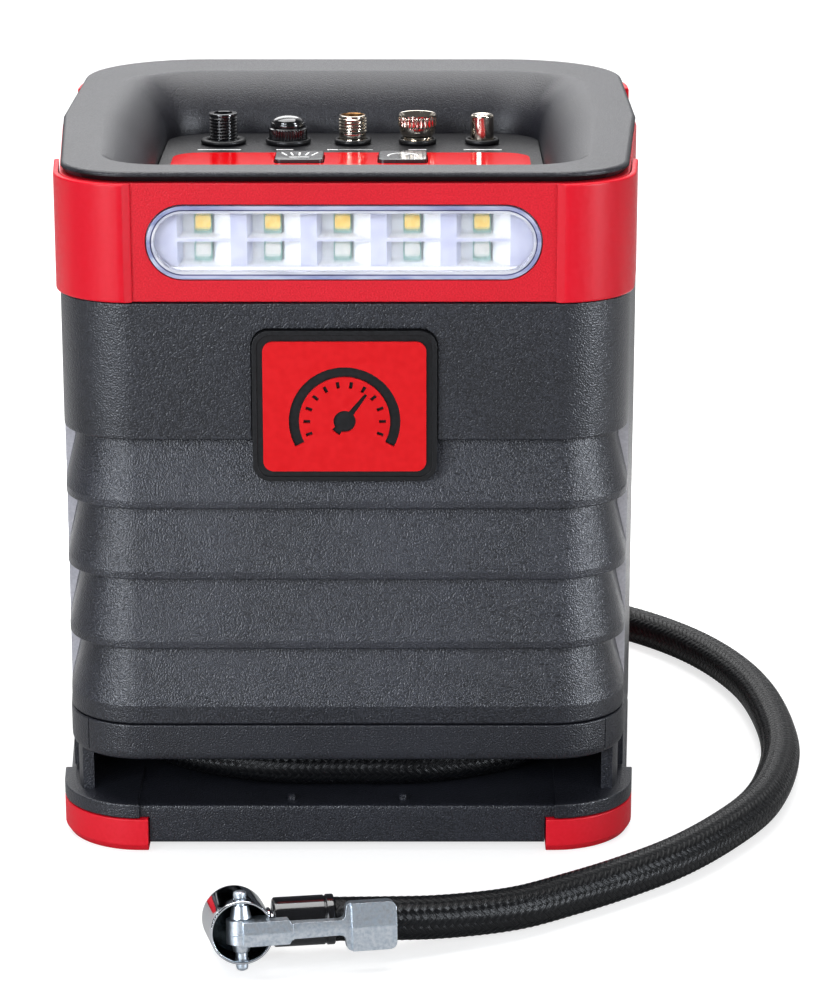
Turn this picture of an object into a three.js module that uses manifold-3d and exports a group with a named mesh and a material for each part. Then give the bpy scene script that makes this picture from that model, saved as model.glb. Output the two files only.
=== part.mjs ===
// Portable tyre inflator pack: a battery air compressor in an upright case, with a work light in
// its front, valve adapters in a tray on top, and an air hose that winds around the base and ends
// in a lever chuck. Millimetres, +Z up, +Y to the rear; the origin is at the bottom centre.

import * as THREE from 'three';
import Module from 'manifold-3d';
import { mergeVertices } from 'three/addons/utils/BufferGeometryUtils.js';

// ---- Driving dimensions -------------------------------------------------------------------

const GAP = 0.3;          // between pieces that touch
const WALL = 2.4;         // moulded case wall
const ARC_STEPS = 6;      // segments on each rounded corner of a plan
const FAR = 100;          // past the case on every side, for tools that cut

// Plans: half widths at the front corners and behind the flare, then front and rear faces.
const BODY = {
  halfFront: 67.2, halfBody: 72.6, front: -86, rear: 86, kink: -6, frontRadius: 18, rearRadius: 32,
};
const FOOT = {
  halfFront: 69.8, halfBody: 74, front: -86.6, rear: 86.6, kink: -6, frontRadius: 20, rearRadius: 38,
};
const BOWL_TOP = {
  halfFront: 58, halfBody: 62.5, front: -76, rear: 65, kink: -6, frontRadius: 16, rearRadius: 24,
};
const BOWL_FLOOR = {
  halfFront: 48.5, halfBody: 49.5, front: -64, rear: 54, kink: -6, frontRadius: 10, rearRadius: 13,
};
const CORE = {
  halfFront: 50, halfBody: 50, front: -64.5, rear: 64, kink: -6, frontRadius: 38, rearRadius: 40,
};

// Heights, from the floor up.
const TRAY_Z = [1.9, 11.6];        // base tray, bottom and top
const FOOT_TOP = 8.3;
const FLANGE_TOP = 12.1;           // corner flanges of the base tray, over the feet
const RING_Z = [23.3, 32.3];
const SHELL_BOTTOM = 32.6;
const BAND_Z = [135.9, 163.7];
const RIM_Z = [164, 166.3];
const TRAY_FLOOR = 151;

const SPLIT_Y = -62;               // where the front shell meets the rear shell
const LEDGES = [51.5, 68.8, 86.2]; // undersides of the louvre lips
const LEDGE_TOP = 103;             // underside of the plain upper body
const LIP = 1.9;
const LOWEST_LIP_TOP = 37.1;
const LOUVRE_DEPTH = 3.6;

const BAND_INSET = 0.5;
const BAND_WALL = 3;
const LAMP = {
  width: 91.5, height: 17.7, z: 149.9, face: -86, lens: 3, pitchX: 16.15, pitchZ: 6.5, columns: 5,
};
const BADGE = { width: 43, height: 36, radius: 4, z: 111.5, front: -87.6, back: -84.7 };
const DIAL = { margin: 2.5, inner: 10.6, outer: 13, dialZ: 108, from: -28, to: 208, needle: 8.2, hub: 2.6 };

const GUARD = { proud: 1, frontX: 49, frontY: -54, rearX: 46, rearY: 50 };
const FOOT_CORNER = { x: 48, frontY: -60, rearY: 58, thickness: 9 };
const PEG = { x: 13.5, y: -81, radius: 1, height: 1.4 };   // small pegs on the base tray's front edge
const VENT = { halfWidth: 24, bottom: 92, height: 2.2, pitch: 5.5, rows: 6 };
const INLET = { z: 70, face: 86.3, hingeZ: 82.2, cupX: 13, cupZ: 9, depth: 72 };

const ADAPTER_PITCH = 17.1;
const ADAPTER_Y = 38;
const SOCKET = { radius: 3.2, depth: 3 };
const STUB = { radius: 2.8, length: 2.6 };
const PANEL_THICKNESS = 4.5;
const LABEL = { halfWidth: 46, front: -58, rear: 21, radius: 7, thickness: 0.6 };
const KEY = { size: 12.4, x: 13.3, y: 12, clearance: 0.3, depth: 2.2, height: 2.7, travelRoom: 1.1 };
const ROUND_KEY = { radius: 5, x: 30, y: -34 };
const DISPLAY = { width: 40, height: 21, y: -20 };

const HOSE_RADIUS = 5;
const HOSE_STEPS = 60;
const HOSE_SIDES = 10;
const BAY_Z = 17.2;                // height of the hose's centre in the storage bay
const FLOOR_Z = 5.05;              // and where it lies on the floor
const HOSE_OUTLET = { halfWidth: 27, top: 24 };

const CHUCK = {
  at: [-23.2, -150.8, 8.66], yaw: 10, tip: 10, stemYaw: -3,
  headRadius: 7.2, boreRadius: 6.5, back: 9, front: 8.6, boreDepth: 9, sealRadius: 4.7,
  pinRadius: 1.35, pinY: -6.2, sleeveRadius: 5.65, sleeveLength: 12.9, sleeveAt: 14.2,
  barbRadius: 2.6,
};
const LEVER = {
  hub: 5.4, neck: 3.6, paddle: 10.8, hubEnd: 10.2, neckEnd: 23.2, tipEnd: 34.2,
  front: -11.4, rear: -7.6, hubRear: -4.2, corner: 1.6,
};

const BATTERY = { width: 48, height: 42, radius: 6, x: -31, z: 49, front: -66, rear: 52 };
const BOARD = { x: [-54, -8], y: [-60, 36], z: [80, 81.6], tall: 96 };
const MOTOR = { x: 28, z: 50, radius: 18, front: 3.3, rear: 57 };
const SHAFT = { radius: 1.9, bore: 2.3, pinionEnd: 15, fanEnd: 45 };  // the motor's two shaft ends
const FAN = { hub: 6.5, blade: 20, front: 60, rear: 69, blades: 6 };
const GEAR_MODULE = 1.2;
const CRANK = { teeth: 40, z: 80, front: -9, rear: -3, throw: 7, pinFront: -20.7, pinRadius: 2.5 };
const PINION = { teeth: 10, front: -11, rear: -2.6 };
const AXLE = { radius: 3, bore: 3.4, front: -10.5 };
const FRAME_PLATE = { width: 48, height: 88, z: 75, y: [-1.2, 3] };
const CYLINDER = { y: -24, bottom: 98, top: 124, bore: 11.3, outer: 14 };
const PISTON = { radius: 11, bottom: 99.5, top: 107 };

// ---- Materials ----------------------------------------------------------------------------

const material = (color, roughness, metalness = 0) =>
  new THREE.MeshStandardMaterial({ color, roughness, metalness });
const CHARCOAL = material('#3a3b3f', 0.62);
const DARK = material('#242528', 0.7);
const RED = material('#d92535', 0.42);
const GLOSS_RED = material('#c8101e', 0.12);
const CLEAR = new THREE.MeshStandardMaterial({
  color: '#e8ecff', roughness: 0.05, transparent: true, opacity: 0.35,
});
const WHITE = material('#e9e9e6', 0.5);
const GLOSS_BLACK = material('#101012', 0.15);
const RUBBER = material('#151516', 0.8);
const CHROME = material('#dfe3e8', 0.08, 1);
const ZINC = material('#b9c2c9', 0.35, 1);
const BRAID = material('#1c1d20', 0.75);
const STEEL = material('#a3a6aa', 0.3, 1);
const CAST = material('#8d9094', 0.5, 1);
const BOARD_GREEN = material('#16553a', 0.5);
const CELL_WRAP = material('#2b4c8f', 0.4);

// ---- Geometry helpers ---------------------------------------------------------------------

const wasm = await Module();
wasm.setup();

const radians = THREE.MathUtils.degToRad;

function solidOf(geometry) {
  const bare = geometry.index ? geometry.toNonIndexed() : geometry.clone();
  bare.deleteAttribute('normal');
  bare.deleteAttribute('uv');
  const merged = mergeVertices(bare, 1e-4);
  return new wasm.Manifold(new wasm.Mesh({
    numProp: 3,
    vertProperties: merged.attributes.position.array,
    triVerts: new Uint32Array(merged.index.array),
  }));
}

function geometryOf(solid) {
  const mesh = solid.getMesh();
  const geometry = new THREE.BufferGeometry();
  geometry.setAttribute('position', new THREE.BufferAttribute(mesh.vertProperties, 3));
  geometry.setIndex(new THREE.BufferAttribute(mesh.triVerts, 1));
  return geometry;
}

const cut = (base, ...tools) =>
  geometryOf(tools.reduce((left, tool) => left.subtract(solidOf(tool)), solidOf(base)));
const join = (base, ...others) =>
  geometryOf(others.reduce((sum, other) => sum.add(solidOf(other)), solidOf(base)));
const common = (base, other) => geometryOf(solidOf(base).intersect(solidOf(other)));

// A box between two corners.
function block([x0, x1], [y0, y1], [z0, z1]) {
  return new THREE.BoxGeometry(x1 - x0, y1 - y0, z1 - z0)
    .translate((x0 + x1) / 2, (y0 + y1) / 2, (z0 + z1) / 2);
}

// Round bars along Z and along Y, between two heights or depths.
function upright(radius, z0, z1, x = 0, y = 0, sides = 20) {
  return new THREE.CylinderGeometry(radius, radius, z1 - z0, sides)
    .rotateX(Math.PI / 2).translate(x, y, (z0 + z1) / 2);
}
function level(radius, y0, y1, x = 0, z = 0, sides = 20) {
  return new THREE.CylinderGeometry(radius, radius, y1 - y0, sides)
    .translate(x, (y0 + y1) / 2, z);
}

// A body of revolution about Z from a profile of radius and height, which starts and ends on it.
function turned(profile, sides = 24) {
  const points = profile.map(([r, z]) => new THREE.Vector2(r, z));
  return new THREE.LatheGeometry(points, sides).rotateX(Math.PI / 2);
}

// A flat outline extruded up Z, or turned to face the front and extruded back along Y.
function slab(shape, z0, z1, curveSegments = 8) {
  return new THREE.ExtrudeGeometry(shape, { depth: z1 - z0, bevelEnabled: false, curveSegments })
    .translate(0, 0, z0);
}
function upstand(shape, y0, y1, curveSegments = 8) {
  return slab(shape, -y1, -y0, curveSegments).rotateX(Math.PI / 2);
}

function roundedRect(width, height, radius, x = 0, y = 0) {
  const shape = new THREE.Shape();
  const [w, h] = [width / 2 - radius, height / 2 - radius];
  shape.absarc(x + w, y - h, radius, -Math.PI / 2, 0);
  shape.absarc(x + w, y + h, radius, 0, Math.PI / 2);
  shape.absarc(x - w, y + h, radius, Math.PI / 2, Math.PI);
  shape.absarc(x - w, y - h, radius, Math.PI, 1.5 * Math.PI);
  shape.closePath();
  return shape;
}

// The housing's plan, anticlockwise from the front left: rounded corners, sides that flare out
// as far as the kink, then run straight back. Every plan has the same number of points.
function planPoints(plan, inset = 0) {
  const frontY = plan.front + plan.frontRadius;
  const flare = Math.atan2(plan.halfBody - plan.halfFront, plan.kink - frontY);
  const right = [];
  const corner = (x, y, radius, from, to) => {
    for (let i = 0; i <= ARC_STEPS; i++) {
      const angle = THREE.MathUtils.lerp(from, to, i / ARC_STEPS);
      right.push([x + (radius - inset) * Math.cos(angle), y + (radius - inset) * Math.sin(angle)]);
    }
  };
  corner(plan.halfFront - plan.frontRadius, frontY, plan.frontRadius, -Math.PI / 2, -flare);
  right.push([plan.halfBody - inset, plan.kink]);
  corner(plan.halfBody - plan.rearRadius, plan.rear - plan.rearRadius, plan.rearRadius,
    0, Math.PI / 2);
  const left = right.map(([x, y]) => [-x, y]).reverse();
  return [...right, ...left];
}

// A level ring of points around a plan.
const ring = (plan, inset, z) => planPoints(plan, inset).map(([x, y]) => [x, y, z]);

// Skins a list of rings of equal point count.
function skin(rings, closedLoop) {
  const count = rings[0].length;
  const index = [];
  const bands = closedLoop ? rings.length : rings.length - 1;
  for (let i = 0; i < bands; i++) {
    const [low, high] = [i * count, ((i + 1) % rings.length) * count];
    for (let j = 0; j < count; j++) {
      const next = (j + 1) % count;
      index.push(low + j, low + next, high + next, low + j, high + next, high + j);
    }
  }
  if (!closedLoop) {
    const top = (rings.length - 1) * count;
    for (let j = 1; j < count - 1; j++) {
      index.push(0, j + 1, j, top, top + j, top + j + 1);
    }
  }
  const geometry = new THREE.BufferGeometry();
  geometry.setAttribute('position', new THREE.Float32BufferAttribute(rings.flat(2), 3));
  geometry.setIndex(index);
  return geometry;
}
const stack = (rings) => skin(rings, false);  // a solid, from the bottom ring to the top one
const collar = (rings) => skin(rings, true);  // a hollow band: outside going up, inside going down

// A plain band of wall between two insets of one plan.
const wall = (plan, outer, inner, z0, z1) => collar([
  ring(plan, outer, z0), ring(plan, outer, z1), ring(plan, inner, z1), ring(plan, inner, z0),
]);

const CORNERS = [
  { name: 'front_left', x: -1, y: -1 }, { name: 'front_right', x: 1, y: -1 },
  { name: 'rear_left', x: -1, y: 1 }, { name: 'rear_right', x: 1, y: 1 },
];

// The space of one corner of the plan, beyond |x| and beyond y to the front or to the rear.
function cornerBox(corner, x, frontY, rearY) {
  const xs = corner.x < 0 ? [-FAR, -x] : [x, FAR];
  const ys = corner.y < 0 ? [-FAR, frontY] : [rearY, FAR];
  return block(xs, ys, [-1, 2 * FAR]);
}

const model = new THREE.Group();
function part(name, geometry, look, parent = model) {
  const mesh = new THREE.Mesh(geometry, look);
  mesh.name = name;
  parent.add(mesh);
  return mesh;
}

// ---- Case shells --------------------------------------------------------------------------

const everywhereFront = block([-FAR, FAR], [-FAR, SPLIT_Y], [0, 2 * FAR]);
const everywhereRear = block([-FAR, FAR], [SPLIT_Y + GAP, FAR], [0, 2 * FAR]);

function frontShell() {
  const shellTop = BAND_Z[0] - GAP;
  const inner = LOUVRE_DEPTH + WALL;
  const rings = [ring(BODY, 0, SHELL_BOTTOM), ring(BODY, 0, LOWEST_LIP_TOP)];
  [...LEDGES, LEDGE_TOP].forEach((ledge) => {
    rings.push(ring(BODY, LOUVRE_DEPTH, ledge), ring(BODY, 0, ledge));
    if (ledge !== LEDGE_TOP) rings.push(ring(BODY, 0, ledge + LIP));
  });
  rings.push(ring(BODY, 0, shellTop), ring(BODY, inner, shellTop), ring(BODY, inner, SHELL_BOTTOM));
  const badgePocket = upstand(
    roundedRect(BADGE.width + 2 * GAP, BADGE.height + 2 * GAP, BADGE.radius, 0, BADGE.z),
    -FAR, BADGE.back + GAP, 3);
  return cut(common(collar(rings), everywhereFront), badgePocket);
}

function rearShell() {
  const shell = common(wall(BODY, 0, WALL, FLANGE_TOP + 2 * GAP, BAND_Z[0] - GAP), everywhereRear);
  const rearWall = [BODY.rear - 2 * WALL, FAR];
  const outlet = block([-HOSE_OUTLET.halfWidth, HOSE_OUTLET.halfWidth], rearWall, [0, HOSE_OUTLET.top]);
  const [holeX, holeZ] = [INLET.cupX + 0.4, INLET.cupZ + 0.4];
  const inletHole = block([-holeX, holeX], rearWall, [INLET.z - holeZ, INLET.z + holeZ]);
  const vents = Array.from({ length: VENT.rows }, (_, row) => VENT.bottom + VENT.pitch * row)
    .map((z) => block([-VENT.halfWidth, VENT.halfWidth], rearWall, [z, z + VENT.height]));
  return cut(shell, outlet, inletHole, ...vents);
}

part('front_shell', frontShell(), CHARCOAL);
part('rear_shell', rearShell(), CHARCOAL);
part('base_ring', common(wall(BODY, -0.2, WALL + 2 * GAP, ...RING_Z), everywhereFront), CHARCOAL);

// Screw positions, shared by the base tray, the screws and the bottom plate.
const SCREW = { x: 34, y: 42, head: 4, headZ: [5.9, 8.7], shank: 1.7, top: 25.4, hole: 2.1 };
const screwPlaces = CORNERS.map((corner) => [corner.x * SCREW.x, corner.y * SCREW.y]);
const screwHoles = (z0, z1) => screwPlaces.map(([x, y]) => upright(SCREW.hole, z0, z1, x, y, 12));

function bottomPlate() {
  const inset = WALL + 1.2;
  const plate = stack([ring(BODY, inset, RING_Z[0] + 0.2), ring(BODY, inset, RING_Z[0] + 3.2)]);
  return cut(plate, ...screwHoles(RING_Z[0] - 1, RING_Z[1]));
}
part('bottom_plate', bottomPlate(), DARK);

function baseTray() {
  const lip = 1.4;
  const roof = 2.6;
  const body = stack([ring(FOOT, lip, TRAY_Z[0]), ring(FOOT, lip, TRAY_Z[1])]);
  const hollow = stack([ring(FOOT, lip + WALL, 0), ring(FOOT, lip + WALL, TRAY_Z[1] - roof)]);
  const flangeSlab = stack([ring(FOOT, 0, FOOT_TOP + GAP), ring(FOOT, 0, FLANGE_TOP)]);
  const { x, frontY, rearY, thickness } = FOOT_CORNER;
  const flanges = CORNERS.map((corner) => common(flangeSlab, cornerBox(corner, x, frontY, rearY)));
  const footSpaces = CORNERS.map((corner) =>
    common(wall(FOOT, -1, thickness + GAP, 0, FOOT_TOP + GAP),
      cornerBox(corner, x - GAP, frontY + GAP, rearY - GAP)));
  const pegs = [-PEG.x, PEG.x].map((pegX) =>
    upright(PEG.radius, TRAY_Z[1] - 1, TRAY_Z[1] + PEG.height, pegX, PEG.y, 10));
  return cut(join(cut(body, hollow), ...flanges, ...pegs), ...footSpaces,
    ...screwHoles(0, RING_Z[0]));
}
part('base_tray', baseTray(), CHARCOAL);

part('hose_core', wall(CORE, 0, WALL, TRAY_Z[1] + GAP, RING_Z[0] - 0.1), DARK);

function foot(corner) {
  const { x, frontY, rearY, thickness } = FOOT_CORNER;
  return common(wall(FOOT, 0, thickness, 0, FOOT_TOP), cornerBox(corner, x, frontY, rearY));
}
CORNERS.forEach((corner) => part(`foot_${corner.name}`, foot(corner), RED));

screwPlaces.forEach(([x, y], i) => {
  const screw = join(
    upright(SCREW.head, ...SCREW.headZ, x, y, 12),
    upright(SCREW.shank, SCREW.headZ[1] - 0.5, SCREW.top, x, y, 8));
  part(`case_screw_${i + 1}`, screw, STEEL);
});

// ---- Red band, guards and rim -------------------------------------------------------------

// The lamp's outline: two half circles joined by straight runs.
const lampOutline = (clearance) => roundedRect(LAMP.width - 2 * clearance,
  LAMP.height - 2 * clearance, LAMP.height / 2 - clearance - 0.01, 0, LAMP.z);

function lampBand() {
  const ringWall = wall(BODY, BAND_INSET, BAND_INSET + BAND_WALL, ...BAND_Z);
  return cut(ringWall, upstand(lampOutline(0), -FAR, LAMP.face + 10, 6));
}
part('lamp_band', lampBand(), RED);

function cornerGuard(corner) {
  return common(wall(BODY, -GUARD.proud, BAND_INSET - GAP, ...BAND_Z),
    cornerBox(corner, corner.y < 0 ? GUARD.frontX : GUARD.rearX, GUARD.frontY, GUARD.rearY));
}
CORNERS.forEach((corner) => part(`corner_guard_${corner.name}`, cornerGuard(corner), RED));

// One ring of the bowl's wall, from its edge at share 0 to the tray floor at share 1. The wall rolls
// over softly at the sides, and is nearly straight at the front and rear.
function bowlRing(share) {
  const [edge, floor] = [planPoints(BOWL_TOP), planPoints(BOWL_FLOOR)];
  const roll = 1 - Math.sqrt(1 - share ** 2);
  return edge.map(([x0, y0], i) => {
    const [dx, dy] = [floor[i][0] - x0, floor[i][1] - y0];
    const softness = (dx / Math.hypot(dx, dy)) ** 2;
    const drop = softness * roll + (1 - softness) * share;
    return [x0 + dx * share, y0 + dy * share, RIM_Z[1] - (RIM_Z[1] - TRAY_FLOOR) * drop];
  });
}

function topRim() {
  const outer = BAND_INSET + GAP;
  const inside = BAND_INSET + BAND_WALL + GAP;
  const bottom = TRAY_FLOOR - PANEL_THICKNESS;
  const skirt = RIM_Z[0] - 4;
  return collar([
    ring(BODY, outer, RIM_Z[0]), ring(BODY, outer, RIM_Z[1] - 1), ring(BODY, outer + 1, RIM_Z[1]),
    ...[0, 0.35, 0.6, 0.8, 0.93, 1].map(bowlRing), ring(BOWL_FLOOR, 0, bottom),
    ring(BOWL_FLOOR, -WALL, bottom), ring(BOWL_TOP, -0.5, skirt),
    ring(BODY, inside, skirt), ring(BODY, inside, RIM_Z[0]),
  ]);
}
part('top_rim', topRim(), CHARCOAL);

// ---- Badge --------------------------------------------------------------------------------

part('badge_plate', upstand(roundedRect(BADGE.width, BADGE.height, BADGE.radius, 0, BADGE.z),
  BADGE.front, BADGE.back, 4), GLOSS_BLACK);

// A panel in the plate's frame with a pressure dial cut out of it: an open arc, a hub and a needle.
function badgeInlay() {
  const [back, front] = [BADGE.front - GAP, BADGE.front - 0.8];
  const { margin, inner, outer, dialZ, from, to, needle, hub } = DIAL;
  const panel = upstand(
    roundedRect(BADGE.width - 2 * margin, BADGE.height - 2 * margin, 2, 0, BADGE.z), front, back, 4);
  const scale = new THREE.Shape().absarc(0, dialZ, outer, radians(from), radians(to));
  scale.absarc(0, dialZ, inner, radians(to), radians(from), true);
  scale.closePath();
  const pointer = block([-0.7, 0.7], [-FAR, FAR], [0, needle])
    .rotateY(radians(38)).translate(0, 0, dialZ);
  return cut(panel, upstand(scale, front - 1, back + 1, 24), pointer,
    level(hub, -FAR, FAR, 0, dialZ, 16));
}
part('badge_inlay', badgeInlay(), RED);

// ---- Work light ---------------------------------------------------------------------------

const lampColumns = Array.from({ length: LAMP.columns }, (_, i) =>
  (i - (LAMP.columns - 1) / 2) * LAMP.pitchX);
const lampRows = [LAMP.z - LAMP.pitchZ / 2, LAMP.z + LAMP.pitchZ / 2];

part('lamp_lens', upstand(lampOutline(GAP), LAMP.face, LAMP.face + LAMP.lens, 6), CLEAR);

// A tray with a pocket around each chip, on a board that carries the chips.
const REFLECTOR = { halfWidth: 50, halfHeight: 9.6, front: -82.1, back: -77.5, pocketX: 3, pocketZ: 2.9 };
const LED_BOARD = { halfWidth: 49, halfHeight: 8.4, front: -77.2, back: -75.6, chip: 1.8, chipFront: -78.4 };

function lampReflector() {
  const { halfWidth, halfHeight, front, back, pocketX, pocketZ } = REFLECTOR;
  const tray = block([-halfWidth, halfWidth], [front, back], [LAMP.z - halfHeight, LAMP.z + halfHeight]);
  const pockets = lampColumns.flatMap((x) => lampRows.map((z) =>
    block([x - pocketX, x + pocketX], [front - 1, back + 1], [z - pocketZ, z + pocketZ])));
  return cut(tray, ...pockets);
}
part('lamp_reflector', lampReflector(), WHITE);

function lampBoard() {
  const { halfWidth, halfHeight, front, back, chip, chipFront } = LED_BOARD;
  const board = block([-halfWidth, halfWidth], [front, back], [LAMP.z - halfHeight, LAMP.z + halfHeight]);
  const chips = lampColumns.flatMap((x) => lampRows.map((z) =>
    block([x - chip, x + chip], [chipFront, back - 1], [z - chip, z + chip])));
  return join(board, ...chips);
}
part('lamp_board', lampBoard(), WHITE);

// ---- Valve adapters -----------------------------------------------------------------------

// Each profile starts with the stub that stands in the tray's socket, at height 0 = tray floor.
const stubProfile = [[0, -STUB.length], [STUB.radius, -STUB.length], [STUB.radius, 0]];

function threadProfile(radius, height, crest, from) {
  const pitch = 1.7;
  const points = [[radius - crest, 0.2], [radius - crest, from]];
  for (let z = from; z < height - pitch; z += pitch) {
    points.push([radius, z + pitch / 2], [radius - crest, z + pitch]);
  }
  return points;
}

const ADAPTERS = [
  {
    name: 'black_thread', look: GLOSS_BLACK, sealOuter: 6.05, waist: 3.8,
    profile: [...threadProfile(3.8, 7.6, 0.25, 0.6), [3.7, 7.9], [2.6, 8.1], [2.6, 4], [0, 4]],
  },
  {
    name: 'valve_cap', look: GLOSS_BLACK, sealOuter: 6, waist: 5.05,
    profile: [[5.05, 0.1], [5.05, 4.4], [4.6, 4.7], [4.6, 5.7], [3.9, 6.7], [2.4, 7.2], [0, 7.3]],
  },
  {
    name: 'nickel_thread', look: CHROME, sealOuter: 4.9, waist: 3.65,
    profile: [...threadProfile(3.88, 7.3, 0.25, 2.6), [3.5, 7.6], [3, 7.6], [3, 3], [0, 3]],
  },
  {
    name: 'nickel_dish', look: CHROME, sealOuter: 5, waist: 4.15,
    profile: [[4.15, 0.2], [4.15, 1], [3.7, 1.3], [4.4, 2.3], [4.75, 3.2], [4.9, 4.5],
      [5.05, 4.6], [5.05, 7.3], [4.8, 7.9], [3.4, 6.2], [3.4, 4.2], [0, 4.2]],
  },
  {
    name: 'nickel_pin', look: CHROME, sealOuter: 4.6, waist: 3.1,
    profile: [[3.1, 0.2], [3.12, 7.2], [2.8, 7.7], [0.9, 7.5], [0.8, 5.6], [0, 5.6]],
  },
];

// ---- Tray panel, label, keys and display --------------------------------------------------

const adapterX = (i) => (i - (ADAPTERS.length - 1) / 2) * ADAPTER_PITCH;

function trayPanel() {
  const bottom = TRAY_FLOOR - PANEL_THICKNESS;
  const plate = stack([ring(BOWL_FLOOR, GAP, bottom), ring(BOWL_FLOOR, GAP, TRAY_FLOOR)]);
  const sockets = ADAPTERS.map((_, i) =>
    upright(SOCKET.radius, TRAY_FLOOR - SOCKET.depth, TRAY_FLOOR + 1, adapterX(i), ADAPTER_Y, 12));
  return cut(plate, ...sockets, ...keyHoles(TRAY_FLOOR - KEY.depth, TRAY_FLOOR + 1));
}

// Openings for the two square keys and the two round ones.
function keyHoles(z0, z1) {
  const half = KEY.size / 2 + KEY.clearance;
  const square = [-KEY.x, KEY.x].map((x) =>
    block([x - half, x + half], [KEY.y - half, KEY.y + half], [z0, z1]));
  const round = [-ROUND_KEY.x, ROUND_KEY.x].map((x) =>
    upright(ROUND_KEY.radius + KEY.clearance, z0, z1, x, ROUND_KEY.y, 20));
  return [...square, ...round];
}
part('tray_panel', trayPanel(), CHARCOAL);

function panelLabel() {
  const z = TRAY_FLOOR + GAP;
  const depth = LABEL.rear - LABEL.front;
  const outline = roundedRect(2 * LABEL.halfWidth, depth, LABEL.radius, 0, LABEL.front + depth / 2);
  const window = block([-DISPLAY.width / 2 - GAP, DISPLAY.width / 2 + GAP],
    [DISPLAY.y - DISPLAY.height / 2 - GAP, DISPLAY.y + DISPLAY.height / 2 + GAP], [z - 1, z + 2]);
  return cut(slab(outline, z, z + LABEL.thickness, 6), window, ...keyHoles(z - 1, z + 2));
}
part('panel_label', panelLabel(), GLOSS_RED);

part('display_window', slab(roundedRect(DISPLAY.width, DISPLAY.height, 1.5, 0, DISPLAY.y),
  TRAY_FLOOR + GAP, TRAY_FLOOR + 1.3, 4), GLOSS_BLACK);

// The keys stand over the floor of their holes with room to be pressed.
const keyBottom = TRAY_FLOOR - KEY.depth + KEY.travelRoom;
const keyTop = keyBottom + KEY.height;
[['light_button', -KEY.x], ['mode_button', KEY.x]].forEach(([name, x]) => {
  part(name, slab(roundedRect(KEY.size, KEY.size, 1.5, x, KEY.y), keyBottom, keyTop, 4), GLOSS_BLACK);
});
[['minus_button', -ROUND_KEY.x], ['plus_button', ROUND_KEY.x]].forEach(([name, x]) => {
  part(name, upright(ROUND_KEY.radius, keyBottom, keyTop, x, ROUND_KEY.y, 20), GLOSS_BLACK);
});

// The adapters stand in the tray's sockets, each in its retaining seal.
ADAPTERS.forEach((adapter, i) => {
  const [x, y, z] = [adapterX(i), ADAPTER_Y, TRAY_FLOOR];
  const outline = [...stubProfile.slice(0, 2), [STUB.radius, 0.2], ...adapter.profile];
  part(`adapter_${adapter.name}`, turned(outline, 16), adapter.look).position.set(x, y, z + 0.1);
  const [inner, outer] = [adapter.waist + 0.16, adapter.sealOuter];
  const seal = [[inner, 0.15], [outer - 0.4, 0.15], [outer, 0.6], [outer, 1.1], [outer - 0.4, 1.5],
    [inner, 1.5], [inner, 0.15]];
  part(`seal_${adapter.name}`, turned(seal, 16), RUBBER).position.set(x, y, z);
});

// ---- Rear charging inlet and its cover ----------------------------------------------------

const BEZEL = { halfWidth: 17, below: 12.5, above: 10.6, thickness: 1.3 };

function powerInlet() {
  const { z, face, cupX, cupZ, depth } = INLET;
  const bezel = block([-BEZEL.halfWidth, BEZEL.halfWidth], [face, face + BEZEL.thickness],
    [z - BEZEL.below, z + BEZEL.above]);
  const cup = block([-cupX, cupX], [depth, face + 0.5], [z - cupZ, z + cupZ]);
  const wallX = cupX - 2;
  const wallZ = cupZ - 2;
  const socket = block([-wallX, wallX], [depth + 2.5, FAR], [z - wallZ, z + wallZ]);
  return join(cut(join(bezel, cup), socket), level(1.2, depth + 1, face - 2.3, 0, z, 10));
}
part('power_inlet', powerInlet(), DARK);

function inletCover() {
  const front = INLET.face + BEZEL.thickness + GAP;
  const [halfWidth, thickness, barrelRadius] = [14, 1.9, 1.3];
  const flap = block([-halfWidth, halfWidth], [front, front + thickness], [INLET.z - 10, INLET.hingeZ]);
  const barrel = new THREE.CylinderGeometry(barrelRadius, barrelRadius, 2 * halfWidth, 12)
    .rotateZ(Math.PI / 2).translate(0, front + barrelRadius, INLET.hingeZ);
  return join(flap, barrel);
}
part('inlet_cover', inletCover(), RUBBER);

// ---- Battery and control board ------------------------------------------------------------

part('battery_pack', upstand(
  roundedRect(BATTERY.width, BATTERY.height, BATTERY.radius, BATTERY.x, BATTERY.z),
  BATTERY.front, BATTERY.rear, 4), CELL_WRAP);

// A circuit board with a relay, a pressure sensor and three capacitors standing on it.
function controlBoard() {
  const [left, front] = [BOARD.x[0], BOARD.y[0]];
  const foot = BOARD.z[1] - 0.6;
  const relay = block([left + 4, left + 20], [front + 10, front + 26], [foot, BOARD.tall]);
  const sensor = block([left + 26, left + 38], [front + 16, front + 30], [foot, BOARD.tall - 7]);
  const capacitors = [10, 23, 36].map((x) =>
    upright(4, foot, BOARD.tall, left + x, front + 80, 10));
  return join(block(BOARD.x, BOARD.y, BOARD.z), relay, sensor, ...capacitors);
}
part('control_board', controlBoard(), BOARD_GREEN);

// ---- Compressor: motor, gears, crank, piston and head -------------------------------------

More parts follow.
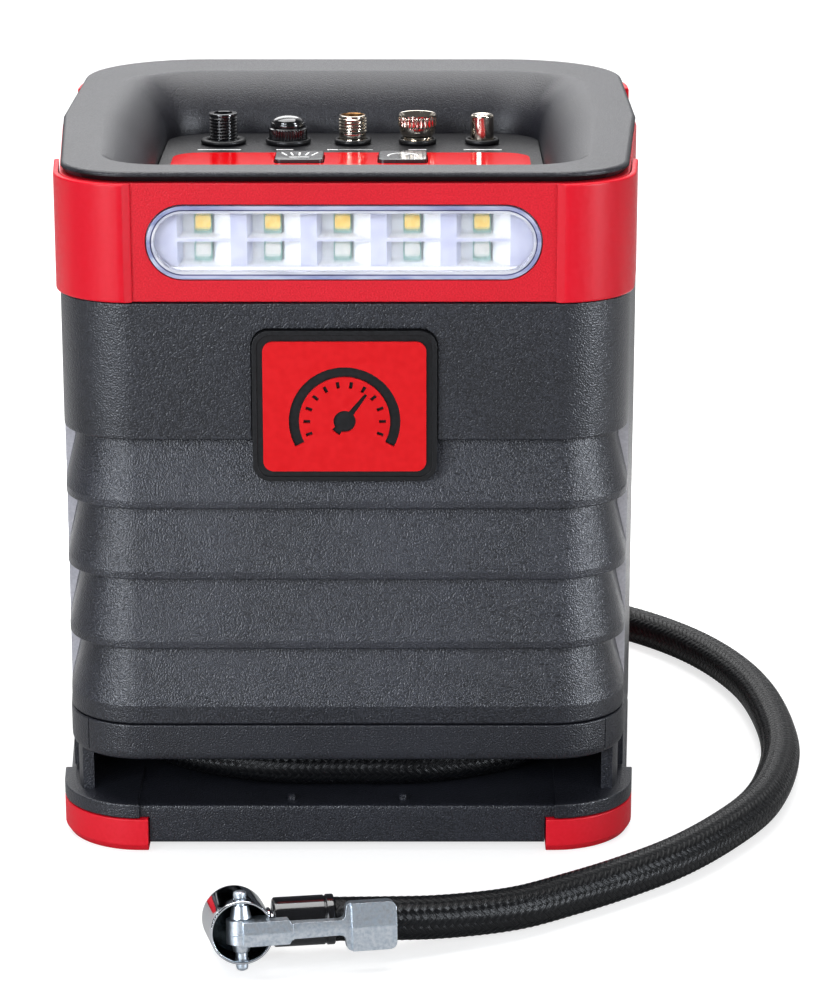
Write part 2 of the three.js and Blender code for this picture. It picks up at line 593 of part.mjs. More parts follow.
// A spur gear's outline with plain tapered teeth, one tooth or one gap centred on the angle.
function gearShape(teeth, bore, toothAt) {
  const pitchRadius = (teeth * GEAR_MODULE) / 2;
  const [root, tip] = [pitchRadius - 1.25 * GEAR_MODULE, pitchRadius + 0.85 * GEAR_MODULE];
  const step = (2 * Math.PI) / teeth;
  const [footHalf, tipHalf] = [0.3 * step, 0.12 * step];
  const shape = new THREE.Shape();
  for (let i = 0; i < teeth; i++) {
    const middle = toothAt + i * step;
    [[root, -footHalf], [tip, -tipHalf], [tip, tipHalf], [root, footHalf]].forEach(([r, turn], k) => {
      const [x, y] = [r * Math.cos(middle + turn), r * Math.sin(middle + turn)];
      if (i + k === 0) shape.moveTo(x, y);
      else shape.lineTo(x, y);
    });
  }
  shape.closePath();
  if (bore > 0) shape.holes.push(new THREE.Path().absarc(0, 0, bore, 0, 2 * Math.PI, true));
  return shape;
}

function motorCan() {
  const { x, z, radius, front, rear } = MOTOR;
  const can = level(radius, front, rear, x, z, 24);
  const boss = level(5, rear - 1, rear + 2, x, z, 16);
  const frontBore = level(SHAFT.bore, front - 1, SHAFT.pinionEnd + 1, x, z, 12);
  const rearBore = level(SHAFT.bore, SHAFT.fanEnd - 1, FAR, x, z, 12);
  return cut(join(can, boss), frontBore, rearBore);
}
part('motor', motorCan(), STEEL);

function motorPinion() {
  const gear = upstand(gearShape(PINION.teeth, 0, Math.PI / 2), PINION.front, PINION.rear)
    .translate(MOTOR.x, 0, MOTOR.z);
  return join(gear, level(SHAFT.radius, PINION.rear - 1, SHAFT.pinionEnd, MOTOR.x, MOTOR.z, 12));
}
part('motor_pinion', motorPinion(), STEEL);

function coolingFan() {
  const hub = level(FAN.hub, FAN.front, FAN.rear, MOTOR.x, MOTOR.z, 16);
  const shaft = level(SHAFT.radius, SHAFT.fanEnd, FAN.front + 1, MOTOR.x, MOTOR.z, 12);
  const middle = (FAN.front + FAN.rear) / 2;
  const halfChord = 4.5;
  const blades = Array.from({ length: FAN.blades }, (_, i) =>
    block([FAN.hub - 1.5, FAN.blade], [-0.8, 0.8], [-halfChord, halfChord])
      .rotateX(radians(62)).rotateY((2 * Math.PI * i) / FAN.blades)
      .translate(MOTOR.x, middle, MOTOR.z));
  return join(hub, shaft, ...blades);
}
part('cooling_fan', coolingFan(), DARK);

// A plate between motor and gear, with the crank's axle, and an arm that holds the cylinder.
function compressorFrame() {
  const { width, height, z, y } = FRAME_PLATE;
  const plate = upstand(roundedRect(width, height, 6, MOTOR.x, z), ...y, 4);
  const shaftHole = level(SHAFT.bore + 0.9, y[0] - 3, y[1] + 3, MOTOR.x, MOTOR.z, 16);
  const axle = level(AXLE.radius, AXLE.front, 0, MOTOR.x, CRANK.z, 16);
  const arm = block([MOTOR.x - 12, MOTOR.x + 12], [CYLINDER.y + 4, 0],
    [CYLINDER.bottom + 10, CYLINDER.bottom + 20]);
  const barrel = upright(CYLINDER.outer, CYLINDER.bottom, CYLINDER.top, MOTOR.x, CYLINDER.y, 24);
  const bore = upright(CYLINDER.bore, CYLINDER.bottom - 5, CYLINDER.top + 5, MOTOR.x, CYLINDER.y, 24);
  return cut(join(plate, axle, arm, barrel), shaftHole, bore);
}
part('compressor_frame', compressorFrame(), CAST);

function crankGear() {
  const outline = gearShape(CRANK.teeth, AXLE.bore, Math.PI / CRANK.teeth);
  const gear = upstand(outline, CRANK.front, CRANK.rear, 6).translate(MOTOR.x, 0, CRANK.z);
  const web = level(12, CRANK.front - 3.5, CRANK.front + 0.5, MOTOR.x, CRANK.z, 20);
  const axleRoom = level(AXLE.bore, AXLE.front - 0.5, 0, MOTOR.x, CRANK.z, 16);
  const pin = level(CRANK.pinRadius, CRANK.pinFront, CRANK.front - 3,
    MOTOR.x, CRANK.z - CRANK.throw, 12);
  return join(cut(join(gear, web), axleRoom), pin);
}
part('crank_gear', crankGear(), STEEL);

// The rod's eye leaves clear space around the crank pin, where the linkage is opened.
function pistonRod() {
  const eyeZ = CRANK.z - CRANK.throw;
  const [front, rear] = [CYLINDER.y - 3, CYLINDER.y + 3];
  const eye = cut(level(6, front, rear, MOTOR.x, eyeZ, 16),
    level(CRANK.pinRadius + 0.4, -FAR, 0, MOTOR.x, eyeZ, 12));
  const rod = block([MOTOR.x - 2.5, MOTOR.x + 2.5], [front, rear], [eyeZ + 4, PISTON.bottom + 1]);
  const piston = upright(PISTON.radius, PISTON.bottom, PISTON.top, MOTOR.x, CYLINDER.y, 24);
  return join(eye, rod, piston);
}
part('piston_rod', pistonRod(), STEEL);

function cylinderHead() {
  const [foot, deck] = [CYLINDER.top + GAP, CYLINDER.top + 4];
  const base = upright(CYLINDER.outer + 1.5, foot, deck, MOTOR.x, CYLINDER.y, 24);
  const fins = [-8.5, -3, 2.5, 8].map((y) => block([MOTOR.x - 12, MOTOR.x + 12],
    [CYLINDER.y + y - 1, CYLINDER.y + y + 1], [deck - 1, deck + 4]));
  return join(base, ...fins);
}
part('cylinder_head', cylinderHead(), CAST);

// ---- Air hose -----------------------------------------------------------------------------

// The hose's centre line: once around the storage bay, out through the rear outlet, down to
// the floor, around the right side and up into the chuck in front.
const HOSE_ROUTE = [
  [57, 39.7, BAY_Z], [57, 10, BAY_Z], [57, -15, BAY_Z], [55.6, -34.5, BAY_Z],
  [48.6, -51.6, BAY_Z], [36.6, -63.6, BAY_Z], [19.5, -70.6, BAY_Z], [0, -71.6, BAY_Z],
  [-19.5, -70.6, BAY_Z], [-36.6, -63.6, BAY_Z], [-48.6, -51.6, BAY_Z], [-55.6, -34.5, BAY_Z],
  [-57, -15, BAY_Z], [-57.2, 18, BAY_Z], [-54.8, 38, BAY_Z], [-47.8, 54.3, BAY_Z],
  [-36.7, 66.8, BAY_Z], [-22.5, 75.6, BAY_Z], [-8, 82.2, BAY_Z], [6, 87.6, 17],
  [20, 91.5, 15.2], [35, 93, 10.9], [49.5, 91, 6.9], [61.5, 86.6, FLOOR_Z],
  [73, 79.4, FLOOR_Z], [83.5, 69.6, FLOOR_Z], [94, 55.5, FLOOR_Z], [102.8, 37, FLOOR_Z],
  [108.9, 13.5, FLOOR_Z], [110.9, -24.3, FLOOR_Z], [107.7, -46.8, FLOOR_Z],
  [101.1, -68.1, FLOOR_Z], [90.7, -86.2, FLOOR_Z], [78.3, -102.3, FLOOR_Z],
  [65.6, -114.3, FLOOR_Z], [52, -125.2, 5.2], [38.9, -134.6, 5.6], [22, -142.4, 6.9],
  [9, -146.6, 8.3], [-2, -148.2, 8.85],
];

function hoseTube() {
  const route = new THREE.CatmullRomCurve3(
    HOSE_ROUTE.map(([x, y, z]) => new THREE.Vector3(x, y, z)), false, 'centripetal');
  const section = new THREE.Shape(Array.from({ length: HOSE_SIDES }, (_, i) => {
    const angle = (2 * Math.PI * i) / HOSE_SIDES;
    return new THREE.Vector2(HOSE_RADIUS * Math.cos(angle), HOSE_RADIUS * Math.sin(angle));
  }));
  return new THREE.ExtrudeGeometry(section,
    { steps: HOSE_STEPS, bevelEnabled: false, extrudePath: route, curveSegments: 1 });
}
part('hose', hoseTube(), BRAID);

// The gland turns the air line from the bottom plate into the bay.
function hoseGland() {
  const [x, z] = [HOSE_ROUTE[0][0], BAY_Z];
  const front = HOSE_ROUTE[0][1] + GAP;
  const nut = level(5.2, front, front + 5, x, z, 6);
  const barrel = level(4.4, front + 4, front + 14, x, z, 12);
  const riser = upright(3.2, z, RING_Z[0] - 0.1, x, front + 10, 12);
  return join(nut, barrel, riser);
}
part('hose_gland', hoseGland(), STEEL);

// ---- Lever chuck --------------------------------------------------------------------------

// Its own frame: Y along the head towards the tyre valve, X along the stem towards the hose,
// Z along the lever's pin. It lies on the floor on the rim of its valve end.
const chuck = new THREE.Group();
chuck.position.set(...CHUCK.at);
chuck.rotation.set(radians(-CHUCK.tip), 0, radians(CHUCK.yaw), 'ZYX');
model.add(chuck);

// Turns a piece drawn along the stem into the stem's own direction.
const alongStem = (geometry) => geometry.rotateZ(radians(CHUCK.stemYaw));
const rod = (radius, x0, x1, sides) => new THREE.CylinderGeometry(radius, radius, x1 - x0, sides)
  .rotateZ(Math.PI / 2).translate((x0 + x1) / 2, 0, 0);

const sleeveStart = CHUCK.sleeveAt - CHUCK.sleeveLength / 2;
const sleeveEnd = CHUCK.sleeveAt + CHUCK.sleeveLength / 2;

function chuckBody() {
  const head = level(CHUCK.headRadius, -CHUCK.front, CHUCK.back, 0, 0, 28);
  const leverBore = level(CHUCK.boreRadius, -FAR, -CHUCK.front + CHUCK.boreDepth, 0, 0, 24);
  const valveBore = level(CHUCK.sealRadius + GAP, CHUCK.back - 5, FAR, 0, 0, 20);
  const passage = level(1.5, -5, CHUCK.back, 0, 0, 10);
  const halfSlot = LEVER.hub / 2 + 0.5;
  const slot = block([0, FAR], [-FAR, -1.6], [-halfSlot, halfSlot]);
  const pinHole = upright(CHUCK.pinRadius + 0.25, -FAR, FAR, 0, CHUCK.pinY, 12);
  const stem = alongStem(rod(3.4, 5, sleeveStart - GAP, 16));
  const barb = alongStem(rod(CHUCK.barbRadius, 5, sleeveEnd - 2, 12));
  return cut(join(cut(head, slot), stem, barb), leverBore, valveBore, passage, pinHole);
}
part('chuck_body', chuckBody(), CHROME, chuck);

function chuckSleeve() {
  const outside = rod(CHUCK.sleeveRadius, sleeveStart, sleeveEnd, 20);
  const bore = rod(CHUCK.barbRadius + GAP, sleeveStart - 1, sleeveEnd - 1.5, 12);
  return alongStem(cut(outside, bore));
}
part('chuck_sleeve', chuckSleeve(), GLOSS_BLACK, chuck);

part('chuck_seal', cut(level(CHUCK.sealRadius, CHUCK.back - 4.5, CHUCK.back - 0.4, 0, 0, 20),
  level(2.6, 0, FAR, 0, 0, 14)), RUBBER, chuck);

function chuckPin() {
  const reach = CHUCK.headRadius + 0.9;
  return join(upright(CHUCK.pinRadius, -reach, reach, 0, CHUCK.pinY, 12),
    upright(1.8, reach - 0.6, reach + 0.6, 0, CHUCK.pinY, 12));
}
part('chuck_pin', chuckPin(), ZINC, chuck);

// The lever turns on the pin: a hub inside the head, a neck beside the hose and a thumb pad.
function chuckLever() {
  const { hub, neck, paddle, hubEnd, neckEnd, tipEnd, corner } = LEVER;
  const [left, right, edge] = [neckEnd + corner, tipEnd - corner, paddle / 2 - corner];
  const side = (sign) => [
    [0, hub / 2], [hubEnd, hub / 2], [hubEnd + 0.8, neck / 2], [neckEnd - 2, neck / 2],
  ].map(([x, y]) => new THREE.Vector2(x, sign * y));
  const outline = new THREE.Shape(side(-1));
  outline.absarc(left, -edge, corner, Math.PI, 1.5 * Math.PI);
  outline.absarc(right, -edge, corner, -Math.PI / 2, 0);
  outline.absarc(right, edge, corner, 0, Math.PI / 2);
  outline.absarc(left, edge, corner, Math.PI / 2, Math.PI);
  side(1).reverse().forEach(({ x, y }) => outline.lineTo(x, y));
  outline.closePath();
  const bar = upstand(outline, LEVER.front, LEVER.rear, 4);
  const boss = block([-2.6, hubEnd - 4], [LEVER.front + 0.6, LEVER.hubRear], [-hub / 2, hub / 2]);
  const hole = upright(CHUCK.pinRadius + 0.25, -FAR, FAR, 0, CHUCK.pinY, 12);
  return cut(join(bar, boss), hole);
}
part('chuck_lever', chuckLever(), ZINC, chuck);

export default model;
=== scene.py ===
"""The looks of a portable tyre inflator pack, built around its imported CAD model.

Shapes are written in millimetres in the CAD frame (+X right, +Y rear, +Z up), and solid() turns them
into metres.
"""
import math

import bmesh
import bpy
import numpy as np
from mathutils import Matrix, Vector


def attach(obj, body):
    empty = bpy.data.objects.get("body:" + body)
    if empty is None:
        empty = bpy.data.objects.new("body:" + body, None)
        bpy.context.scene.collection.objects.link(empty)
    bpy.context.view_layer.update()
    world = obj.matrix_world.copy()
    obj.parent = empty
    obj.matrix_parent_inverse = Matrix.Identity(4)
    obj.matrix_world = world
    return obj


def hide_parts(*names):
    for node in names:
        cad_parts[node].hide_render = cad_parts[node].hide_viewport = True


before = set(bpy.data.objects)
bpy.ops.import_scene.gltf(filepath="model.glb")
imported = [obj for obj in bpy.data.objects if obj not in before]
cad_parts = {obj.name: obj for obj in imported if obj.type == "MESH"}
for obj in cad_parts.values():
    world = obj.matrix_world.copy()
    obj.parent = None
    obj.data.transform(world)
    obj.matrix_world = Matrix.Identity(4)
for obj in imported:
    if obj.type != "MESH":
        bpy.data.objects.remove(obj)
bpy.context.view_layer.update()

MM = 0.001

# ---- Driving dimensions, as in the CAD model ----------------------------------------------------

WALL = 2.4
ARC_STEPS = 18
FAR = 100                # past the case on every side, for tools that cut
BODY = dict(half_front=67.2, half_body=72.6, front=-86, rear=86, kink=-6, front_radius=18, rear_radius=32)
FOOT = dict(half_front=69.8, half_body=74, front=-86.6, rear=86.6, kink=-6, front_radius=20, rear_radius=38)
BOWL_TOP = dict(half_front=58, half_body=62.5, front=-76, rear=65, kink=-6, front_radius=16, rear_radius=24)
BOWL_FLOOR = dict(half_front=48.5, half_body=49.5, front=-64, rear=54, kink=-6, front_radius=10,
                  rear_radius=13)
CORE = dict(half_front=50, half_body=50, front=-64.5, rear=64, kink=-6, front_radius=38, rear_radius=40)

TRAY_BOTTOM, TRAY_TOP = 1.9, 11.6
FOOT_TOP, FLANGE_TOP = 8.3, 12.1
RING_BOTTOM, RING_TOP = 23.3, 32.3
SHELL_BOTTOM, SHELL_TOP = 32.6, 135.6
BAND_BOTTOM, BAND_TOP = 135.9, 163.7
RIM_BOTTOM, RIM_TOP = 164, 166.3
SKIRT_BOTTOM = RIM_BOTTOM - 4
TRAY_FLOOR = 151
BOWL_BOTTOM = TRAY_FLOOR - 4.5
SPLIT_Y = -62            # where the front shell meets the rear shell
CHEEK_FRONT = -75
LEDGES = (51.5, 68.8, 86.2, 103)
LIP, LOWEST_LIP_TOP, LOUVRE_DEPTH = 1.9, 37.1, 3.6

LAMP = dict(width=91.5, height=17.7, z=149.9, pitch_x=16.15, pitch_z=6.5, columns=5, face=-86)
BADGE = dict(width=43, height=36, radius=4, z=111.5, front=-87.6, back=-84.7)
DIAL = dict(margin=2.5, below=3.5, inner=10.6, outer=13, start=-28, end=208, needle=8.2, hub=2.6)
GUARD = dict(proud=1, front_x=49, front_y=-54, rear_x=46, rear_y=50)
FOOT_CORNER = dict(x=48, front_y=-60, rear_y=58, thickness=9)
BAND_INSET = 0.5
PEG = dict(x=13.5, y=-81, radius=1, height=1.4)
VENT = dict(rows=6, pitch=5.5, first_z=93.1, width=48, height=2.2)

ADAPTER_PITCH, ADAPTER_Y = 17.1, 38
KEY = dict(size=12.4, x=13.3, y=12, clearance=0.3, depth=2.2)
ROUND_KEY = dict(radius=5, x=30, y=-34)
DISPLAY = dict(width=40, height=21, y=-20)
LABEL = dict(half_width=46, front=-58, rear=21, radius=7, thickness=0.6)

HOSE_RADIUS = 5
BAY_Z, FLOOR_Z = 17.2, 5.05
HOSE_OUTLET = dict(half_width=27, top=24)
CHUCK = dict(at=(-23.2, -150.8, 8.66), yaw=10, tip=10, stem_yaw=-3, head_radius=7.2, bore_radius=6.5, back=9,
             front=8.6, bore_depth=9, seal_radius=4.7, pin_radius=1.35, pin_y=-6.2, sleeve_radius=5.65,
             sleeve_length=12.9, sleeve_at=14.2)
SLEEVE_START = CHUCK["sleeve_at"] - CHUCK["sleeve_length"] / 2
LEVER = dict(hub=5.4, neck=3.6, paddle=10.8, hub_end=10.2, neck_end=23.2, tip_end=34.2, front=-11.4,
             rear=-7.6, hub_rear=-4.2)
SCREW = dict(x=34, y=42, head=4, shank=1.7, length=16.7, bottom=5.9, top=8.7)
INLET = dict(z=70, face=86.3, hinge_z=82.2)
CAMERA = dict(lens=122.4, at=(0.0158, -0.8532, 0.3096), looks_down=16.08)


# ---- Camera -------------------------------------------------------------------------------------

def make_camera():
    """In front, a little to the right, and looking down on the tray."""
    data = bpy.data.cameras.new("camera")
    data.lens, data.sensor_width = CAMERA["lens"], 36.0
    camera = bpy.data.objects.new("camera", data)
    camera.location = CAMERA["at"]
    camera.rotation_euler = (math.radians(90 - CAMERA["looks_down"]), 0, 0)
    bpy.context.scene.collection.objects.link(camera)
    bpy.context.scene.camera = camera


make_camera()


# ---- Shapes: lists of points and faces, in millimetres ------------------------------------------

def loft(rings, looped=False):
    """Joins rings of equal point count. A looped loft closes on its first ring, others get end faces."""
    count = len(rings[0])
    points = [point for ring_points in rings for point in ring_points]
    faces = []
    for i in range(len(rings) if looped else len(rings) - 1):
        low, high = i * count, ((i + 1) % len(rings)) * count
        faces += [(low + j, low + (j + 1) % count, high + (j + 1) % count, high + j) for j in range(count)]
    if not looped:
        top = (len(rings) - 1) * count
        faces += [tuple(range(count - 1, -1, -1)), tuple(range(top, top + count))]
    return points, faces


def arc(x, y, radius, start, end, steps):
    """Points on an arc between two angles in degrees."""
    turns = [math.radians(start + (end - start) * i / steps) for i in range(steps + 1)]
    return [(x + radius * math.cos(turn), y + radius * math.sin(turn)) for turn in turns]


def plan(shape, inset=0.0):
    """The housing's outline, anticlockwise from the front: corners, flared sides, a kink, straight sides."""
    front_y = shape["front"] + shape["front_radius"]
    flare = math.degrees(math.atan2(shape["half_body"] - shape["half_front"], shape["kink"] - front_y))
    right = arc(shape["half_front"] - shape["front_radius"], front_y, shape["front_radius"] - inset,
                -90, -flare, ARC_STEPS)
    right.append((shape["half_body"] - inset, shape["kink"]))
    right += arc(shape["half_body"] - shape["rear_radius"], shape["rear"] - shape["rear_radius"],
                 shape["rear_radius"] - inset, 0, 90, ARC_STEPS)
    return right + [(-x, y) for x, y in reversed(right)]


def ring(shape, inset, z):
    return [(x, y, z) for x, y in plan(shape, inset)]


def filleted(corners, steps=4):
    """A closed outline with rounded corners. Each corner is (u, v, radius)."""
    points = []
    for i, (u, v, radius) in enumerate(corners):
        here = Vector((u, v))
        if radius == 0:
            points.append((u, v))
            continue
        before = Vector(corners[i - 1][:2]) - here
        after = Vector(corners[(i + 1) % len(corners)][:2]) - here
        reach = radius / math.tan(before.angle(after) / 2)
        start = here + before.normalized() * min(reach, before.length * 0.48)
        end = here + after.normalized() * min(reach, after.length * 0.48)
        for k in range(steps + 1):
            t = k / steps
            points.append(tuple(start * (1 - t) ** 2 + here * 2 * t * (1 - t) + end * t ** 2))
    return points


def swept_ring(shape, corners, steps=4):
    """A hollow band along a plan, from a section of (inset, z, radius) corners: up outside, down inside."""
    return loft([ring(shape, inset, z) for inset, z in filleted(corners, steps)], looped=True)


def band(shape, outer, inner, z0, z1, edge=0.4):
    return swept_ring(shape, [(outer, z0, edge), (outer, z1, edge), (inner, z1, edge), (inner, z0, edge)], 3)


def box(xs, ys, zs):
    (x0, x1), (y0, y1), (z0, z1) = xs, ys, zs
    return loft([[(x0, y0, z), (x1, y0, z), (x1, y1, z), (x0, y1, z)] for z in (z0, z1)])


def rounded_rect(width, height, radius, x=0.0, y=0.0, steps=10):
    w, h = width / 2 - radius, height / 2 - radius
    return (arc(x + w, y - h, radius, -90, 0, steps) + arc(x + w, y + h, radius, 0, 90, steps)
            + arc(x - w, y + h, radius, 90, 180, steps) + arc(x - w, y - h, radius, 180, 270, steps))


def slab(outline, z0, z1):
    """An outline in X and Y, extruded up."""
    return loft([[(x, y, z) for x, y in outline] for z in (z0, z1)])


def upstand(outline, y0, y1):
    """An outline in X and Z, extruded along Y from its front y0 to its back y1."""
    return loft([[(x, y, z) for x, z in outline] for y in (y1, y0)])


def tile(width, height, radius, z, y0, y1, x=0.0):
    """A rounded rectangle that faces the front, centred on x and z."""
    return upstand(rounded_rect(width, height, radius, x, z), y0, y1)


def circles(profile, sides=64, relief=None):
    """The rings of a body of revolution about Z. relief(turn, step) adds to the radius, with turn from
    0 to 1 and step counting along the profile."""
    rings = []
    for step, (radius, z) in enumerate(profile):
        points = []
        for i in range(sides):
            turn = i / sides
            r = radius + (relief(turn, step) if relief else 0.0)
            points.append((r * math.cos(2 * math.pi * turn), r * math.sin(2 * math.pi * turn), z))
        rings.append(points)
    return rings


def turned(profile, sides):
    return loft(circles(profile, sides))


def moved(shape, matrix):
    points, faces = shape
    return [tuple(matrix @ Vector(point)) for point in points], faces


def shift(x, y, z):
    return Matrix.Translation((x, y, z))


def turn(axis, degrees):
    return Matrix.Rotation(math.radians(degrees), 4, axis)


ALONG_X = turn("Y", 90)
ALONG_Y = turn("X", -90)


def upright(radius, z0, z1, x=0.0, y=0.0, sides=32):
    return moved(turned([(radius, z0), (radius, z1)], sides), shift(x, y, 0))


def level(radius, y0, y1, x=0.0, z=0.0, sides=32):
    """A round bar along Y."""
    return moved(turned([(radius, y0), (radius, y1)], sides), shift(x, 0, z) @ ALONG_Y)


# ---- Solids: Blender objects made from shapes ---------------------------------------------------

def solid(name, *shapes):
    """One object from closed shapes that stay apart from each other, in metres."""
    mesh = bpy.data.meshes.new(name)
    points, faces = [], []
    for shape_points, shape_faces in shapes:
        start = len(points)
        points += [(x * MM, y * MM, z * MM) for x, y, z in shape_points]
        faces += [tuple(start + i for i in face) for face in shape_faces]
    mesh.from_pydata(points, [], faces)
    obj = bpy.data.objects.new(name, mesh)
    bpy.context.scene.collection.objects.link(obj)
    clean(obj)
    return obj


def clean(obj):
    """Merges doubled points, drops empty faces and turns the normals outwards."""
    work = bmesh.new()
    work.from_mesh(obj.data)
    bmesh.ops.remove_doubles(work, verts=work.verts, dist=2e-7)
    bmesh.ops.dissolve_degenerate(work, edges=work.edges, dist=1e-7)
    bmesh.ops.recalc_face_normals(work, faces=work.faces)
    work.to_mesh(obj.data)
    work.free()


def settle(obj):
    """Makes the modified mesh the object's own."""
    bpy.context.view_layer.update()
    graph = bpy.context.evaluated_depsgraph_get()
    mesh = bpy.data.meshes.new_from_object(obj.evaluated_get(graph))
    old = obj.data
    obj.modifiers.clear()
    obj.data = mesh
    bpy.data.meshes.remove(old)


def merge(obj, operation, tool):
    """Combines an object with another one, which is used up."""
    modifier = obj.modifiers.new("merge", "BOOLEAN")
    modifier.operation, modifier.object, modifier.solver = operation, tool, "MANIFOLD"
    settle(obj)
    bpy.data.objects.remove(tool)


def combine(obj, operation, shapes):
    for shape in shapes:
        merge(obj, operation, solid("tool", shape))
    return obj


def cut(obj, *shapes):
    return combine(obj, "DIFFERENCE", shapes)


def join(obj, *shapes):
    return combine(obj, "UNION", shapes)


def keep(obj, shape):
    return combine(obj, "INTERSECT", [shape])


def soften(obj, width, segments=3, angle=32):
    """Rounds the edges that are sharper than an angle."""
    modifier = obj.modifiers.new("soften", "BEVEL")
    modifier.width, modifier.segments = width * MM, segments
    modifier.limit_method, modifier.angle_limit = "ANGLE", math.radians(angle)
    modifier.harden_normals = False
    settle(obj)
    return obj


def place(obj, looks, nodes=(), body="housing", smooth=32):
    """Gives a finished solid its materials, its shading and its body, and hides the CAD nodes that it stands
    for.
    """
    obj.data.materials.clear()
    for look in looks if isinstance(looks, (list, tuple)) else [looks]:
        obj.data.materials.append(look)
    for polygon in obj.data.polygons:
        polygon.use_smooth = True
    obj.data.set_sharp_from_angle(angle=math.radians(smooth))
    modifier = obj.modifiers.new("even normals", "WEIGHTED_NORMAL")
    modifier.keep_sharp = True
    settle(obj)
    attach(obj, body)
    if nodes:
        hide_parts(*([nodes] if isinstance(nodes, str) else nodes))
    return obj


def paint(obj, index, chosen):
    """Gives the faces that chosen(centre in mm, normal) picks another of the object's materials."""
    for polygon in obj.data.polygons:
        if chosen(polygon.center / MM, polygon.normal):
            polygon.material_index = index


# ---- Materials ----------------------------------------------------------------------------------

def srgb(code):
    """A linear colour from its hexadecimal sRGB code."""
    channels = [int(code[i:i + 2], 16) / 255 for i in (0, 2, 4)]
    return (*(c / 12.92 if c <= 0.04045 else ((c + 0.055) / 1.055) ** 2.4 for c in channels), 1.0)


class Look:
    """A Principled material, with short calls for the nodes that feed it."""

    def __init__(self, name, colour, roughness, metallic=0.0, **sockets):
        self.material = bpy.data.materials.new(name)
        self.material.use_nodes = True
        self.nodes = self.material.node_tree.nodes
        self.links = self.material.node_tree.links
        self.shader = self.nodes["Principled BSDF"]
        self.place = self.nodes.new("ShaderNodeTexCoord").outputs["Object"]
        self.set("Base Color", srgb(colour))
        self.set("Roughness", roughness)
        self.set("Metallic", metallic)
        for socket, value in sockets.items():
            self.set(socket.replace("_", " ").title().replace("Ior", "IOR"), value)

    def set(self, socket, value):
        self.shader.inputs[socket].default_value = value

    def feed(self, socket, output):
        self.links.new(output, self.shader.inputs[socket])

    def node(self, kind, output=0, attributes=None, **inputs):
        """A new node. An input takes a number, a colour or another node's output."""
        made = self.nodes.new("ShaderNode" + kind)
        for attribute, value in (attributes or {}).items():
            setattr(made, attribute, value)
        for name, value in inputs.items():
            key = int(name[1:]) if name[0] == "i" and name[1:].isdigit() else name.replace("_", " ")
            if isinstance(value, bpy.types.NodeSocket):
                self.links.new(value, made.inputs[key])
            else:
                made.inputs[key].default_value = value
        return made.outputs[output]

    def math(self, operation, a, b=0.0, c=0.0):
        return self.node("Math", attributes={"operation": operation}, i0=a, i1=b, i2=c)

    def noise(self, size, detail=2.0, stretch=None):
        """Noise whose features are about size millimetres across."""
        vector = self.place
        if stretch:
            vector = self.node("Mapping", Vector=vector, Scale=stretch)
        return self.node("TexNoise", Vector=vector, Scale=1 / (size * MM), Detail=detail)

    def ramp(self, value, low, high, start, end):
        """A value mapped from low..high to start..end."""
        return self.node("MapRange", Value=value, From_Min=low, From_Max=high, To_Min=start, To_Max=end)

    def blend(self, factor, first, second):
        """A colour between two hexadecimal colours or outputs."""
        made = self.nodes.new("ShaderNodeMix")
        made.data_type = "RGBA"
        for socket, value in ((made.inputs[0], factor), (made.inputs[6], first), (made.inputs[7], second)):
            if isinstance(value, bpy.types.NodeSocket):
                self.links.new(value, socket)
            else:
                socket.default_value = srgb(value) if isinstance(value, str) else value
        return made.outputs[2]

    def bump(self, height, depth, strength=1.0):
        """Relief of a given depth in millimetres."""
        self.feed("Normal", self.node("Bump", Height=height, Distance=depth * MM, Strength=strength))


def plastic(name, colour, cloud_and_glint, roughness, grain, depth, **sockets):
    """Moulded plastic: a spark-eroded grain, faint clouding, and roughness that varies with both. The second
    colour shows in the clouding as the plastic's own tone, and in the grain's specks as painted glints.
    """
    look = Look(name, colour, roughness, **sockets)
    fine, cloud = look.noise(grain, 0.4), look.noise(28, 3)
    mottle = look.math("ADD", look.math("MULTIPLY", cloud, 0.3), look.math("MULTIPLY", fine, 0.7))
    # Grain specks in the second colour are painted glints; the clouding is the plastic's own tone.
    look.feed("Base Color", look.blend(look.ramp(mottle, 0.36, 0.64, 0.0, 1.0), colour, cloud_and_glint))
    look.feed("Roughness", look.ramp(fine, 0.3, 0.7, roughness - 0.05, roughness + 0.05))
    look.bump(fine, depth)
    return look.material


def metal(name, colour, dull, roughness, cloud_size, depth=0.0, grain=1.0, **sockets):
    """Plated or cast metal with faint clouds of duller finish."""
    look = Look(name, colour, roughness, metallic=1.0, **sockets)
    cloud = look.noise(cloud_size, 4)
    look.feed("Base Color", look.blend(look.ramp(cloud, 0.35, 0.7, 0.0, 1.0), colour, dull))
    look.feed("Roughness", look.ramp(cloud, 0.3, 0.75, roughness * 0.9, roughness * 1.25))
    if depth:
        look.bump(look.noise(grain, 3), depth)
    return look.material


def gloss(name, colour, other, roughness=0.12, coat=0.6, **sockets):
    """Polished plastic with a clear coat, faint orange peel and fine dulling."""
    look = Look(name, colour, roughness, coat_weight=coat, coat_roughness=0.05, **sockets)
    cloud = look.noise(9, 4)
    look.feed("Base Color", look.blend(look.ramp(cloud, 0.3, 0.7, 0.0, 1.0), colour, other))
    look.feed("Roughness", look.ramp(look.noise(1.5, 4), 0.3, 0.7, roughness * 0.8, roughness * 1.5))
    look.bump(look.noise(2.5, 2), 0.004)
    return look.material


def clear_lens():
    look = Look("clear polycarbonate", "fafaff", 0.16, transmission_weight=1.0, ior=1.45, alpha=0.45)
    look.feed("Roughness", look.ramp(look.noise(3, 3), 0.3, 0.7, 0.12, 0.2))
    look.bump(look.noise(1.2, 2), 0.002)
    return look.material


